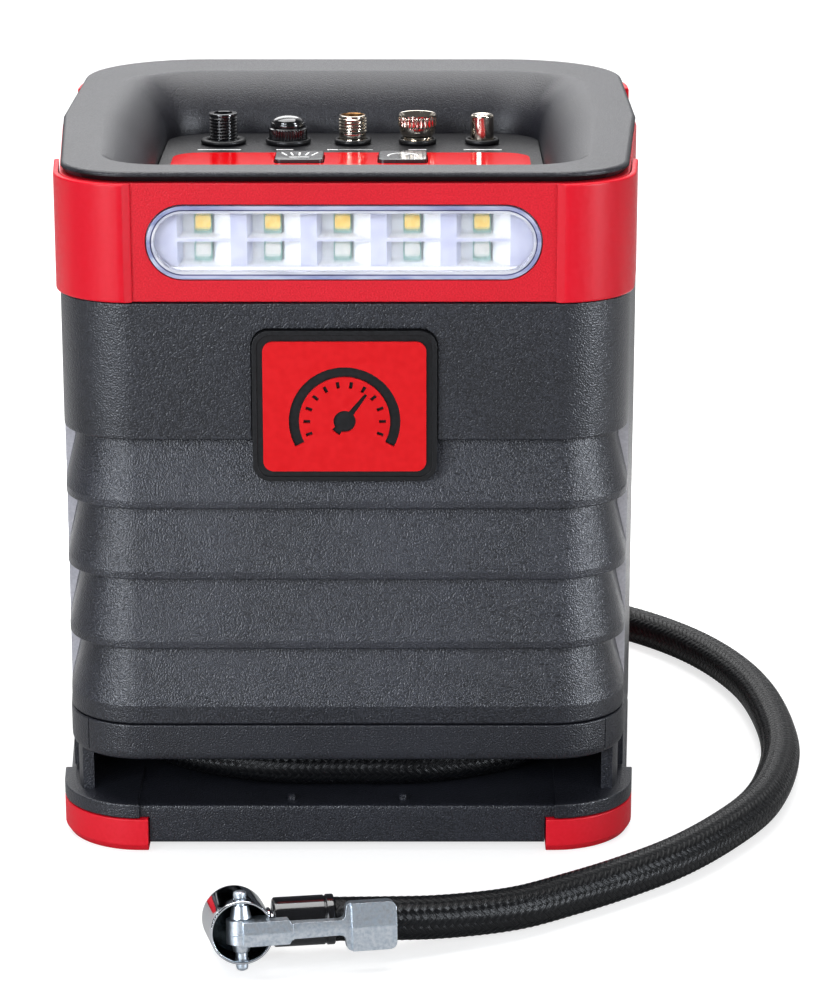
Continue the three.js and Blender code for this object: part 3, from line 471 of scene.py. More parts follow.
def lens_edge(name, colour, other):
    """The thick edge of the lens. The light that it gathers from inside and shows in streaks is painted into
    its colour.
    """
    look = Look(name, colour, 0.14, transmission_weight=0.25, ior=1.5, coat_weight=0.5, coat_roughness=0.05)
    streaks = look.noise(5, 3, stretch=(0.35, 1, 1.6))
    look.feed("Base Color", look.blend(look.ramp(streaks, 0.4, 0.6, 0.0, 1.0), colour, other))
    look.bump(look.noise(1.2, 2), 0.012)
    return look.material


def led_phosphor(name, colour, rim):
    """Soft silicone with phosphor in it. Its faint glow is painted light, which brightens the unlit chips."""
    look = Look(name, colour, 0.45, subsurface_weight=0.2, emission_color=srgb(colour),
                emission_strength=0.22)
    look.feed("Base Color", look.blend(look.ramp(look.noise(1.4, 3), 0.4, 0.7, 0.0, 1.0), colour, rim))
    look.bump(look.noise(0.3, 2), 0.01)
    return look.material


BRAID_WALES = 16      # rows of parallel floats around the hose
BRAID_PITCH = 1.85    # millimetres from float to float along it


def braid_look():
    """Two families of yarns at a slant, each over two and under two. The UV counts pitches and wales."""
    look = Look("hose braid", "0a0a0b", 0.4, specular_ior_level=0.24)
    split = look.nodes.new("ShaderNodeSeparateXYZ")
    look.links.new(look.nodes.new("ShaderNodeUVMap").outputs[0], split.inputs[0])
    along, around = split.outputs[0], split.outputs[1]
    first = look.math("ADD", along, around)
    second = look.math("SUBTRACT", along, around)
    column = look.math("SUBTRACT", look.math("FLOOR", first), look.math("FLOOR", second))
    on_top = look.math("LESS_THAN", look.math("FLOORED_MODULO", column, 4.0), 1.5)
    across = look.node("Mix", attributes={"data_type": "FLOAT"}, i0=on_top, i2=second, i3=first)
    yarn = look.math("FRACT", across)
    crown = look.math("SINE", look.math("MULTIPLY", yarn, math.pi))
    filaments = look.math("ABSOLUTE", look.math("SINE", look.math("MULTIPLY", yarn, 5 * math.pi)))
    edge = look.ramp(crown, 0.0, 0.45, 0.0, 1.0)
    crown_and_valley_shade = look.math("MULTIPLY", edge, look.ramp(filaments, 0.0, 1.0, 0.6, 1.0))
    # Base colour darker in the valleys between yarns and between filaments: painted shade.
    look.feed("Base Color", look.blend(crown_and_valley_shade, "010102", "07080b"))
    look.feed("Roughness", look.ramp(crown_and_valley_shade, 0.0, 1.0, 0.8, 0.2))
    relief = look.math("ADD", look.math("MULTIPLY", edge, 0.6), look.math("MULTIPLY", filaments, 0.4))
    look.bump(relief, 0.09)
    return look.material


def floor_look():
    """Pale grey card that looks white from above and throws little light back at the object. A strip of it
    behind the object is white, which the sides of the case mirror."""
    look = Look("floor", "a6a6a6", 0.8, specular_ior_level=0.2, emission_color=(1, 1, 1, 1))
    split = look.nodes.new("ShaderNodeSeparateXYZ")
    look.links.new(look.place, split.inputs[0])
    grey = look.blend(look.noise(120, 3), "a2a2a2", "aaaaaa")
    rearwards = split.outputs[1]
    strip_starts = look.ramp(rearwards, 0.05, 0.15, 0.0, 1.0)
    strip_ends = look.ramp(rearwards, 0.24, 0.34, 1.0, 0.0)
    look.feed("Base Color", look.blend(look.math("MULTIPLY", strip_starts, strip_ends), grey, "ffffff"))
    seen = look.node("LightPath", "Is Camera Ray")
    look.feed("Emission Strength", look.math("MULTIPLY", seen, 0.72))
    return look.material


SHELL = plastic("charcoal shell", "0f1016", "25272f", 0.38, 0.37, 0.15)
LOUVRE = plastic("charcoal louvre", "0a0b11", "2f313a", 0.37, 0.34, 0.18)
RIM = plastic("charcoal rim", "0e0e14", "28282f", 0.42, 0.32, 0.1)
# Pale grey for the rear wall's front edge in the louvres' notches: painted sheen.
PAINTED_SHEEN_EDGE = plastic("painted sheen edge", "b3b1b7", "c0bec4", 0.6, 0.5, 0.02)
# A darker copy of the rim plastic for the rim's outer side: painted shade.
RIM_PAINTED_SHADE = plastic("rim painted shade", "08080b", "111115", 0.5, 0.35, 0.06, specular_ior_level=0.22)
DARK = plastic("black plastic", "0f0f11", "151517", 0.5, 0.6, 0.12)
TRAY = plastic("tray plastic", "09090c", "17171b", 0.5, 0.45, 0.12, specular_ior_level=0.25)
RED_GRAIN = plastic("red band", "ca0c1e", "db152a", 0.4, 0.38, 0.08, specular_ior_level=0.3)
RED_SMOOTH = plastic("red guard", "d80c23", "da1027", 0.38, 1.2, 0.012, specular_ior_level=0.2)
RED_FOOT = plastic("red foot", "da0f22", "de1529", 0.48, 0.9, 0.02, specular_ior_level=0.25)
LABEL_RED = gloss("label red", "d3000c", "db0410", 0.08, 0.15, specular_ior_level=0.25)
EMBLEM_RED = plastic("emblem red", "d2040e", "d80812", 0.45, 1.5, 0.006, specular_ior_level=0.2)
GLOSS_BLACK = gloss("gloss black", "0d0d0f", "141417")
BADGE_BLACK = plastic("badge black", "08080a", "101013", 0.42, 0.7, 0.01, specular_ior_level=0.3)
KEY_BLACK = gloss("key black", "19191c", "202024", 0.3)
PRINT_WHITE = plastic("white print", "f2f2f0", "e6e6e4", 0.5, 0.4, 0.004)
RUBBER = plastic("black rubber", "0c0c0e", "131315", 0.4, 0.6, 0.015, specular_ior_level=0.35)
REFLECTOR = plastic("lamp reflector", "fdfdfd", "f5f6f9", 0.3, 1.5, 0.006)
# A lavender-grey copy of the reflector's white, for its shaded walls: painted shade.
REFLECTOR_PAINTED_SHADE = plastic("lamp painted shade", "d3d5e4", "c6c8dc", 0.4, 3, 0.006)
CHIP_WHITE = plastic("chip body", "8fb3aa", "7aa399", 0.5, 0.5, 0.01)
# The phosphors glow a little: painted light on chips that are off.
PHOSPHOR_WARM = led_phosphor("warm phosphor", "f8d686", "f3c25c")
PHOSPHOR_COOL = led_phosphor("cool phosphor", "dedad0", "cfccc2")
LENS = clear_lens()
# Lens edges: streaks of painted light in the band, painted shade in the dark groove, and a painted glow on
# the near-white lip.
LENS_EDGE = lens_edge("lens edge", "9aa0cd", "d3d6ee")
LENS_LIP = lens_edge("lens lip", "d2d3e3", "f4f4fa")
LENS_GROOVE = lens_edge("lens groove", "30345f", "565b96")
CHROME = metal("chrome", "e6e9ee", "d5dae0", 0.045, 12)
NICKEL = metal("nickel", "dcd3c6", "cdc2b2", 0.12, 5, 0.004, 0.8)
# A darker metal for inside the chuck's bore: painted shade.
CHUCK_BORE_SHADE = metal("chuck bore painted shade", "3c4448", "23292c", 0.24, 3)
BRASS = metal("brass bore", "a57c4e", "8c6440", 0.3, 2)
ZINC = metal("cast zinc", "e3e9ef", "b4c0cb", 0.32, 0.8, 0.004, 0.4)
STEEL = metal("steel", "a9adb2", "8f9398", 0.3, 6, 0.01, 0.6)
CAST = metal("cast alloy", "9a9da1", "7e8186", 0.5, 5, 0.05, 0.7)
BOARD = plastic("solder mask", "155238", "1b6043", 0.35, 1.5, 0.02)
CELL_WRAP = gloss("cell wrap", "274a92", "2e55a3", 0.3)
BRAID = braid_look()


# ---- Hose ---------------------------------------------------------------------------------------

HOSE_ROUTE = [
    (57, 39.7, BAY_Z), (57, 10, BAY_Z), (57, -15, BAY_Z), (55.6, -34.5, BAY_Z),
    (48.6, -51.6, BAY_Z), (36.6, -63.6, BAY_Z), (19.5, -70.6, BAY_Z), (0, -71.6, BAY_Z),
    (-19.5, -70.6, BAY_Z), (-36.6, -63.6, BAY_Z), (-48.6, -51.6, BAY_Z), (-55.6, -34.5, BAY_Z),
    (-57, -15, BAY_Z), (-57.2, 18, BAY_Z), (-54.8, 38, BAY_Z), (-47.8, 54.3, BAY_Z),
    (-36.7, 66.8, BAY_Z), (-22.5, 75.6, BAY_Z), (-8, 82.2, BAY_Z), (6, 87.6, 17),
    (20, 91.5, 15.2), (35, 93, 10.9), (49.5, 91, 6.9), (61.5, 86.6, FLOOR_Z),
    (73, 79.4, FLOOR_Z), (83.5, 69.6, FLOOR_Z), (94, 55.5, FLOOR_Z), (102.8, 37, FLOOR_Z),
    (108.9, 13.5, FLOOR_Z), (110.9, -24.3, FLOOR_Z), (107.7, -46.8, FLOOR_Z),
    (101.1, -68.1, FLOOR_Z), (90.7, -86.2, FLOOR_Z), (78.3, -102.3, FLOOR_Z),
    (65.6, -114.3, FLOOR_Z), (52, -125.2, 5.2), (38.9, -134.6, 5.6), (22, -142.4, 6.9),
    (9, -146.6, 8.3), (-2, -148.2, 8.85),
]


def smooth_route(points, step):
    """A centripetal Catmull-Rom curve through the points, at even steps along it, as a numpy array."""
    knots = np.array(points, float)
    knots = np.vstack([2 * knots[0] - knots[1], knots, 2 * knots[-1] - knots[-2]])
    curve = []
    for p in (knots[i:i + 4] for i in range(len(knots) - 3)):
        t = np.concatenate([[0], np.cumsum(np.sqrt(np.linalg.norm(np.diff(p, axis=0), axis=1)))])
        for u in np.linspace(t[1], t[2], 40, endpoint=False)[:, None]:
            a = [(t[i + 1] - u) / (t[i + 1] - t[i]) * p[i] + (u - t[i]) / (t[i + 1] - t[i]) * p[i + 1]
                 for i in range(3)]
            b = [(t[i + 2] - u) / (t[i + 2] - t[i]) * a[i] + (u - t[i]) / (t[i + 2] - t[i]) * a[i + 1]
                 for i in range(2)]
            curve.append(((t[2] - u) * b[0] + (u - t[1]) * b[1]) / (t[2] - t[1]))
    curve = np.array(curve + [knots[-2]])
    run = np.concatenate([[0], np.cumsum(np.linalg.norm(np.diff(curve, axis=0), axis=1))])
    stops = np.linspace(0, run[-1], int(run[-1] / step) + 1)
    return np.column_stack([np.interp(stops, run, curve[:, k]) for k in range(3)]), run[-1]


def braid_relief(along, around):
    """Height from 0 to 1 of the braid at a place counted in pitches and wales."""
    first, second = along + around, along - around
    column = np.floor(first) - np.floor(second)
    on_top = np.mod(column, 4) < 1.5
    across = np.where(on_top, first, second)
    from_middle = np.where(on_top, second - np.floor(first), first - np.floor(second) - 3)
    from_middle = np.mod(from_middle + 2, 4) - 2
    crown = np.sqrt(np.clip(np.sin(np.pi * np.mod(across, 1)), 0, 1))
    return crown * (0.5 + 0.5 * np.cos(0.4 * np.pi * from_middle))


def frames_along(line):
    """Unit side and up vectors that turn as little as possible along a line."""
    tangents = np.gradient(line, axis=0)
    tangents /= np.linalg.norm(tangents, axis=1)[:, None]
    side = np.cross(tangents[0], (0, 0, 1))
    sides = []
    for tangent in tangents:
        side = side - tangent * (side @ tangent)
        side = side / np.linalg.norm(side)
        sides.append(side)
    sides = np.array(sides)
    return sides, np.cross(sides, tangents)


def make_hose():
    """The hose with its braid in relief, and its centre line and length in millimetres."""
    step, sides_around, relief = 0.42, 96, 0.34
    line, length = smooth_route(HOSE_ROUTE, step)
    side, up = frames_along(line)
    along = np.arange(len(line)) * length / (len(line) - 1) / BRAID_PITCH
    around = np.arange(sides_around) * BRAID_WALES / sides_around
    angle = around * 2 * math.pi / BRAID_WALES
    height = braid_relief(along[:, None], around[None, :])
    radius = HOSE_RADIUS - relief + relief * height
    offset = (side[:, None, :] * np.cos(angle)[None, :, None]
              + up[:, None, :] * np.sin(angle)[None, :, None])
    rings = line[:, None, :] + offset * radius[:, :, None]
    shape = loft([[tuple(point) for point in ring_points] for ring_points in rings.tolist()])
    mesh = bpy.data.meshes.new("hose_braid")
    mesh.from_pydata([(x * MM, y * MM, z * MM) for x, y, z in shape[0]], [], shape[1])
    hose = bpy.data.objects.new("hose_braid", mesh)
    bpy.context.scene.collection.objects.link(hose)
    uv = mesh.uv_layers.new(name="pitches and wales")
    places = []
    for i in range(len(line) - 1):
        for j in range(sides_around):
            wales = (around[j], around[j] + BRAID_WALES / sides_around)
            places += [along[i], wales[0], along[i], wales[1]]
            places += [along[i + 1], wales[1], along[i + 1], wales[0]]
    places += [0.0] * (2 * len(mesh.loops) - len(places))
    uv.data.foreach_set("uv", places)
    mesh.materials.append(BRAID)
    for polygon in mesh.polygons:
        polygon.use_smooth = len(polygon.vertices) == 4
    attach(hose, "housing")
    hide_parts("hose")
    return hose, line, length


HOSE, HOSE_LINE, HOSE_LENGTH = make_hose()

# ---- Chuck --------------------------------------------------------------------------------------

# Its own frame: Y along the head towards the tyre valve, X along the stem towards the hose, Z along the pin.
CHUCK_FRAME = shift(*CHUCK["at"]) @ turn("Z", CHUCK["yaw"]) @ turn("X", -CHUCK["tip"])
STEM = turn("Z", CHUCK["stem_yaw"]) @ ALONG_X


def in_chuck(obj):
    """Moves a piece drawn in the chuck's own frame to where the chuck lies."""
    frame_in_metres = CHUCK_FRAME.copy()
    frame_in_metres.translation *= MM
    obj.data.transform(frame_in_metres)
    return obj


def chuck_head():
    """A plated head with an open front, a seat for the seal at its back, and a stem into the sleeve. Its bore
    is painted a dark metal, as painted shade.
    """
    radius, front, back = CHUCK["head_radius"], -CHUCK["front"], CHUCK["back"]
    bore, seat = CHUCK["bore_radius"], CHUCK["seal_radius"] + 0.3
    floor = front + CHUCK["bore_depth"]
    section = [(0, floor), (bore - 0.3, floor), (bore, floor - 0.3), (bore, front + 0.25),
               (bore + 0.15, front), (radius - 0.2, front), (radius, front + 0.25), (radius, front + 5),
               (radius, back - 1.8), (radius - 0.15, back - 1.5), (radius - 0.15, back - 0.6),
               (radius - 0.6, back), (seat + 0.2, back), (seat, back - 0.3), (seat, back - 5),
               (1.5, back - 5), (0, back - 5)]
    head = solid("chuck_head", moved(turned(section, 96), ALONG_Y))
    half = LEVER["hub"] / 2 + 0.5
    cut(head, box((3, 20), (-20, -1.6), (-half, half)),
        upright(CHUCK["pin_radius"] + 0.2, -12, 12, 0, CHUCK["pin_y"]))
    stem = [(3.4, 6.6), (3.4, SLEEVE_START - 0.7), (3.0, SLEEVE_START - 0.3), (2.6, SLEEVE_START - 0.3),
            (2.6, SLEEVE_START + 10)]
    join(head, moved(turned(stem, 48), STEM))
    soften(head, 0.12, 2, 40)
    place(head, [CHROME, CHUCK_BORE_SHADE], "chuck_body", smooth=40)

    def in_bore(centre, normal):
        return math.hypot(centre.x, centre.z) < bore + 0.05 and centre.y < floor + 0.1

    # The bore gets the darker metal: painted shade inside the recess.
    paint(head, 1, in_bore)
    return in_chuck(head)


def within(value, low, high, fade):
    """1 between two bounds and 0 outside them, with a slope inside each bound."""
    return min(1.0, max(0.0, min(value - low, high - value) / fade))


def chuck_sleeve():
    """A chunky crimped sleeve with a collar at the hose, and a shallow window moulded into its front."""
    start, radius, bore = SLEEVE_START, CHUCK["sleeve_radius"], 2.9
    end = start + CHUCK["sleeve_length"] + 0.9
    barrel, groove, hose_seat = radius - 0.1, radius - 0.35, 5.15
    profile = filleted([(bore, start, 0.2), (barrel, start, 1.3), (barrel, start + 1.5, 0)], 6)
    profile += [(barrel, z) for z in np.linspace(start + 1.6, end - 2.4, 40).tolist()]
    profile += filleted([(barrel, end - 2.3, 0), (groove, end - 2.1, 0.15), (groove, end - 1.9, 0.15),
                         (radius, end - 1.7, 0.3), (radius, end, 0.5), (hose_seat, end, 0.1),
                         (hose_seat, end - 2.2, 0), (bore, end - 2.2, 0)], 4)
    middle, half, recess = 108, 44, 0.3

    def window(turns, step):
        r, z = profile[step]
        across = within(360 * turns, middle - half, middle + half, 4)
        return -recess * across * within(z, start + 2.2, end - 3.2, 0.35) * (r > radius - 0.2)

    sleeve = solid("chuck_ferrule", moved(loft(circles(profile, 144, window), looped=True), STEM))
    return place(in_chuck(sleeve), GLOSS_BLACK, "chuck_sleeve", smooth=45)


def chuck_pin():
    """The cross pin, with a riveted head above, and a collar on each side of the lever."""
    reach, r, hub = CHUCK["head_radius"] + 0.7, CHUCK["pin_radius"], LEVER["hub"] / 2
    rivet = [(0, reach + 1.1), (0.95, reach + 1.05), (1.4, reach + 0.75), (1.45, reach + 0.1),
             (1.3, reach - 0.5), (1.25, reach - 0.6)]
    upper = [(r, 5.9), (1.9, 5.8), (2.35, hub + 0.5), (2.5, hub + 0.2), (r, hub + 0.1)]
    lower = [(r, -hub - 0.1), (2.2, -hub - 0.2), (1.8, -hub - 1.9), (r, -hub - 2.2), (r, -reach - 0.2),
             (1.2, -reach - 0.7), (0.7, -reach - 1.0), (0, -reach - 1.05)]
    shape = moved(turned(rivet + upper + lower, 40), shift(0, CHUCK["pin_y"], 0))
    return place(in_chuck(solid("chuck_cross_pin", shape)), ZINC, "chuck_pin", smooth=38)


def lever_outline():
    """The lever from the front: hub, neck and a thumb pad with rounded corners."""
    hub, neck, pad = LEVER["hub"] / 2, LEVER["neck"] / 2, LEVER["paddle"] / 2
    hub_end, neck_end, tip = LEVER["hub_end"], LEVER["neck_end"], LEVER["tip_end"]
    half = filleted([(0, 0, 0), (0, -hub, 0), (hub_end, -hub, 0.35), (hub_end + 0.5, -neck, 0.3),
                     (neck_end - 0.4, -neck + 0.15, 1.6), (neck_end - 0.1, -pad, 1.5),
                     (tip, -pad, 1.9), (tip, 0, 0)], 6)[1:-1]
    return half + [(x, -z) for x, z in reversed(half)]


def draft(obj, limit, slope):
    """Lets the faces in front of a limit, in millimetres, fall away from the parting plane at Z = 0."""
    work = bmesh.new()
    work.from_mesh(obj.data)
    everything = work.verts[:] + work.edges[:] + work.faces[:]
    bmesh.ops.bisect_plane(work, geom=everything, plane_co=(0, 0, 0), plane_no=(0, 0, 1), dist=1e-7)
    for vertex in work.verts:
        if vertex.co.y < limit * MM:
            vertex.co.y += abs(vertex.co.z) * slope
    work.to_mesh(obj.data)
    work.free()


def chuck_lever():
    """Die cast in two half moulds, which leave a fine line of flash along the middle of its front."""
    front, rear, hub_rear = LEVER["front"], LEVER["rear"], LEVER["hub_rear"]
    hub, hub_end, neck_end = LEVER["hub"] / 2, LEVER["hub_end"], LEVER["neck_end"]
    lever = solid("chuck_thumb_lever", upstand(lever_outline(), front, rear))
    eye = arc(0, CHUCK["pin_y"], 3.3, 90, 270, 14)
    boss = [(6.2, front + 0.6), (6.2, hub_rear), (0.5, hub_rear)] + eye + [(0.5, front + 0.4)]
    join(lever, slab(boss, -hub, hub))
    cut(lever, upright(CHUCK["pin_radius"] + 0.12, -12, 12, 0, CHUCK["pin_y"]))
    cut(lever, box((hub_end + 0.9, neck_end + 1), (front - 1, front + 0.9), (-9, 9)))
    draft(lever, front + 2.2, 0.075)
    soften(lever, 0.32, 3, 30)
    flash = 0.09
    for x0, x1 in ((-2.4, hub_end), (neck_end + 0.5, LEVER["tip_end"] + 0.1)):
        line = [(x0, -flash), (x1, -flash), (x1, flash), (x0, flash)]
        join(lever, upstand(line, front - 0.06, front + 0.5))
    return place(in_chuck(lever), ZINC, "chuck_lever", body="lever", smooth=36)


def chuck_seal():
    back, outer, bore = CHUCK["back"], CHUCK["seal_radius"], 2.6
    profile = filleted([(bore, back - 4.5, 0), (outer, back - 4.5, 0), (outer, back - 0.4, 0.3),
                        (3.4, back - 0.4, 0.4), (bore, back - 1.2, 0.3)], 3)
    seal = solid("chuck_valve_seal", moved(loft(circles(profile, 40), looped=True), ALONG_Y))
    return place(in_chuck(seal), RUBBER, "chuck_seal")


CHUCK_PIECES = [chuck_head(), chuck_sleeve(), chuck_pin(), chuck_lever(), chuck_seal()]


# ---- Case shells --------------------------------------------------------------------------------

FRONT_HALF = box((-FAR, FAR), (-FAR, SPLIT_Y), (0, 2 * FAR))
REAR_HALF = box((-FAR, FAR), (SPLIT_Y + 0.3, FAR), (0, 2 * FAR))


def front_shell():
    corners = [(0, SHELL_BOTTOM, 0.5), (0, LOWEST_LIP_TOP, 1.2)]
    for ledge in LEDGES:
        corners += [(LOUVRE_DEPTH, ledge, 0.5), (0, ledge, 0.45)]
        if ledge != LEDGES[-1]:
            corners.append((0, ledge + LIP, 1.2))
    inner = LOUVRE_DEPTH + WALL
    corners += [(0, SHELL_TOP, 0.3), (inner, SHELL_TOP, 0), (inner, SHELL_BOTTOM, 0)]
    shell = solid("louvred_front", swept_ring(BODY, corners))
    keep(shell, FRONT_HALF)
    cut(shell, tile(BADGE["width"] + 0.7, BADGE["height"] + 0.7, 4.2, BADGE["z"], -90, BADGE["back"] + 0.3))
    place(shell, [SHELL, LOUVRE], "front_shell")

    def on_louvres(centre, normal):
        return LOWEST_LIP_TOP - 1 < centre.z < LEDGES[-1] - 0.2 and centre.y < SPLIT_Y - 0.1

    paint(shell, 1, on_louvres)
    return shell


def rear_shell():
    """The rear wall with its openings. Its front edge, seen in the louvres' notches, is painted pale grey: a
    painted sheen of the bright studio.
    """
    shell = solid("rear_case", band(BODY, 0, WALL, FLANGE_TOP + 0.6, SHELL_TOP, 0.3))
    keep(shell, REAR_HALF)
    cut(shell, tile(2 * HOSE_OUTLET["half_width"], 2 * HOSE_OUTLET["top"], 5, 0, 60, FAR),
        tile(26.8, 18.8, 1.5, INLET["z"], 70, FAR))
    for row in range(VENT["rows"]):
        z = VENT["first_z"] + VENT["pitch"] * row
        cut(shell, tile(VENT["width"], VENT["height"], 1.05, z, 70, FAR))
    cut(shell, box((-FAR, FAR), (SPLIT_Y, SPLIT_Y + 2), (0, RING_TOP)))
    soften(shell, 0.3, 2, 50)
    place(shell, [SHELL, PAINTED_SHEEN_EDGE], "rear_shell")
    # The front edge faces get the pale grey: painted sheen, not the wall's own colour.
    paint(shell, 1, lambda centre, normal: normal.y < -0.9 and centre.y < SPLIT_Y + 1)
    return shell


def bay_cheeks():
    """The case wall goes on around the front corners of the hose bay, between the base tray and the skirt."""
    cheeks = solid("bay_cheeks", band(BODY, 1.2, 1.2 + WALL, FLANGE_TOP - 0.5, RING_BOTTOM + 1, 0.3))
    keep(cheeks, box((-FAR, FAR), (CHEEK_FRONT, SPLIT_Y + 4), (0, 2 * FAR)))
    return place(cheeks, SHELL, "rear_shell")


def base_ring():
    """The skirt under the louvres, with a fine moulding line on each corner."""
    corners = [(-0.2, RING_BOTTOM, 2.4), (-0.2, RING_TOP, 0.4), (3, RING_TOP, 0), (3, RING_BOTTOM, 0)]
    base = solid("front_skirt", swept_ring(BODY, corners, 6))
    keep(base, FRONT_HALF)
    radius = BODY["front_radius"]
    centre_x, centre_y = BODY["half_front"] - radius, BODY["front"] + radius
    for side in (-1, 1):
        at_corner = shift(side * centre_x, centre_y, 0) @ turn("Z", side * 46)
        cut(base, moved(box((-0.14, 0.14), (-20, -radius), (0, 60)), at_corner))
    return place(base, SHELL, "base_ring")


front_shell()
rear_shell()
bay_cheeks()
base_ring()


CORNERS = (("front_left", -1, -1), ("front_right", 1, -1), ("rear_left", -1, 1), ("rear_right", 1, 1))


def corner_box(sx, sy, x, front_y, rear_y):
    """The space of one corner of the plan, beyond |x| and beyond y to the front or to the rear."""
    xs = (-FAR, -x) if sx < 0 else (x, FAR)
    ys = (-FAR, front_y) if sy < 0 else (rear_y, FAR)
    return box(xs, ys, (-5, 2 * FAR))



def base_tray():
    """A pan with raised flanges at its corners, over the feet."""
    lip, roof, gap = 1.4, 2.6, 0.3
    body = [(lip + 0.6, TRAY_BOTTOM), (lip, TRAY_BOTTOM + 0.6), (lip, TRAY_TOP - 1.2),
            (lip + 0.35, TRAY_TOP - 0.35), (lip + 1.2, TRAY_TOP)]
    tray = solid("base_pan", loft([ring(FOOT, inset, z) for inset, z in body]))
    x, front_y, rear_y = FOOT_CORNER["x"], FOOT_CORNER["front_y"], FOOT_CORNER["rear_y"]
    flange = solid("flange", loft([ring(FOOT, 0, FOOT_TOP + gap), ring(FOOT, 0, FLANGE_TOP)]))
    between = [(-x, -FAR), (x, -FAR), (x + 2.5, -83), (x + 2.5, FAR), (-x - 2.5, FAR), (-x - 2.5, -83)]
    cut(flange, slab(between, 0, 20), box((-FAR, FAR), (front_y, rear_y), (0, 20)))
    soften(flange, 1.1, 4, 40)
    merge(tray, "UNION", flange)
    depth, top = FOOT_CORNER["thickness"] + gap, FOOT_TOP + gap
    for name, sx, sy in CORNERS:
        section = [(-1, -1, 0), (-1, top, 0), (depth, top, 0), (depth, -1, 0)]
        space = solid("space", swept_ring(FOOT, section))
        keep(space, corner_box(sx, sy, x - gap, front_y + gap, rear_y - gap))
        merge(tray, "DIFFERENCE", space)
    cut(tray, loft([ring(FOOT, lip + WALL, 0), ring(FOOT, lip + WALL, TRAY_TOP - roof)]))
    radius, peg_top = PEG["radius"], TRAY_TOP + PEG["height"]
    peg = [(radius, TRAY_TOP - 1), (radius, peg_top - 0.3), (radius - 0.3, peg_top)]
    for side in (-1, 1):
        join(tray, moved(turned(peg, 24), shift(side * PEG["x"], PEG["y"], 0)))
    cut(tray, *[upright(2.1, 0, 20, sx * SCREW["x"], sy * SCREW["y"]) for name, sx, sy in CORNERS])
    return place(tray, SHELL, "base_tray")


def foot(name, sx, sy):
    depth = FOOT_CORNER["thickness"]
    corners = [(1.1, 0, 0.5), (0, 1.7, 0.8), (0, FOOT_TOP, 0.35), (depth, FOOT_TOP, 0.3), (depth, 0, 0.3)]
    made = solid("foot_pad_" + name, swept_ring(FOOT, corners, 5))
    keep(made, corner_box(sx, sy, FOOT_CORNER["x"], FOOT_CORNER["front_y"], FOOT_CORNER["rear_y"]))
    soften(made, 0.3, 2, 60)
    return place(made, RED_FOOT, "foot_" + name)


def case_screw(index, x, y):
    """A pan head with a cross recess, seen from below."""
    bottom, top, radius, shank = SCREW["bottom"], SCREW["top"], SCREW["head"], SCREW["shank"]
    profile = [(0, bottom), (radius - 1.1, bottom + 0.1), (radius - 0.3, bottom + 0.7),
               (radius, bottom + 1.4),
               (radius, top), (shank, top), (shank, top + SCREW["length"]), (0, top + SCREW["length"])]
    screw = solid(f"pan_screw_{index}", moved(turned(profile, 40), shift(x, y, 0)))
    for degrees in (20, 110):
        slot = box((-2.1, 2.1), (-0.45, 0.45), (bottom - 1, bottom + 1.3))
        cut(screw, moved(slot, shift(x, y, 0) @ turn("Z", degrees)))
    return place(screw, STEEL, f"case_screw_{index}")


base_tray()
for corner in CORNERS:
    foot(*corner)
for index, (name, sx, sy) in enumerate(CORNERS):
    case_screw(index + 1, sx * SCREW["x"], sy * SCREW["y"])
drum = solid("hose_drum", band(CORE, 0, WALL, TRAY_TOP + 0.3, RING_BOTTOM - 0.1, 0.3))
place(drum, DARK, "hose_core")


# ---- Band, guards and rim -----------------------------------------------------------------------

def stadium(clearance=0.0):
    height = LAMP["height"] - 2 * clearance
    return rounded_rect(LAMP["width"] - 2 * clearance, height, height / 2 - 0.01, 0, LAMP["z"], 24)


def lamp_band():
    shown = solid("lamp_surround", band(BODY, BAND_INSET, BAND_INSET + 3, BAND_BOTTOM, BAND_TOP, 0.35))
    cut(shown, upstand(stadium(-0.05), -95, -75))
    soften(shown, 0.3, 3, 60)
    return place(shown, RED_GRAIN, "lamp_band")


def corner_guard(name, sx, sy):
    """Smooth, proud of the band, with a wide ramp where it starts on the front."""
    proud, inside, ramp = GUARD["proud"], BAND_INSET - 0.3, 1.9
    section = [(-proud, BAND_BOTTOM, 0.6), (-proud, BAND_TOP, 0.6), (inside, BAND_TOP, 0),
               (inside, BAND_BOTTOM, 0)]
    guard = solid("guard_" + name, swept_ring(BODY, section, 5))
    start, face = (GUARD["front_x"], BODY["front"]) if sy < 0 else (GUARD["rear_x"], BODY["rear"])
    keep(guard, corner_box(sx, sy, start, GUARD["front_y"], GUARD["rear_y"]))
    edge = face + sy * (proud + 0.01)
    wedge = [(start - 1, edge - sy * 1.05), (start - 1, edge + sy), (start + ramp, edge + sy),
             (start + ramp, edge), (start + 0.2, edge - sy * 0.95)]
    cut(guard, slab([(sx * x, y) for x, y in wedge], FAR, 2 * FAR))
    soften(guard, 0.28, 3, 40)
    return place(guard, RED_SMOOTH, "corner_guard_" + name, smooth=50)


def bowl_ring(share):
    """A ring of the bowl's wall, from its edge at 0 to the floor at 1: a soft roll at the sides and the
    rear, crisper at the front."""
    depth = RIM_TOP - TRAY_FLOOR
    edge, floor = plan(BOWL_TOP), plan(BOWL_FLOOR)
    bend = 0.07
    crisp = (math.hypot(share, bend) - bend) / (math.hypot(1, bend) - bend)
    roll = 1 - math.sqrt(max(0.0, 1 - share ** 2))
    points = []
    for (x0, y0), (x1, y1) in zip(edge, floor):
        x, y = x0 + (x1 - x0) * share, y0 + (y1 - y0) * share
        sideways = abs(x1 - x0) / math.hypot(x1 - x0, y1 - y0)
        softness = max(sideways ** 2, 0.65 * min(1.0, max(0.0, y0 / 40)))
        points.append((x, y, RIM_TOP - depth * (crisp * (1 - softness) + roll * softness)))
    return points


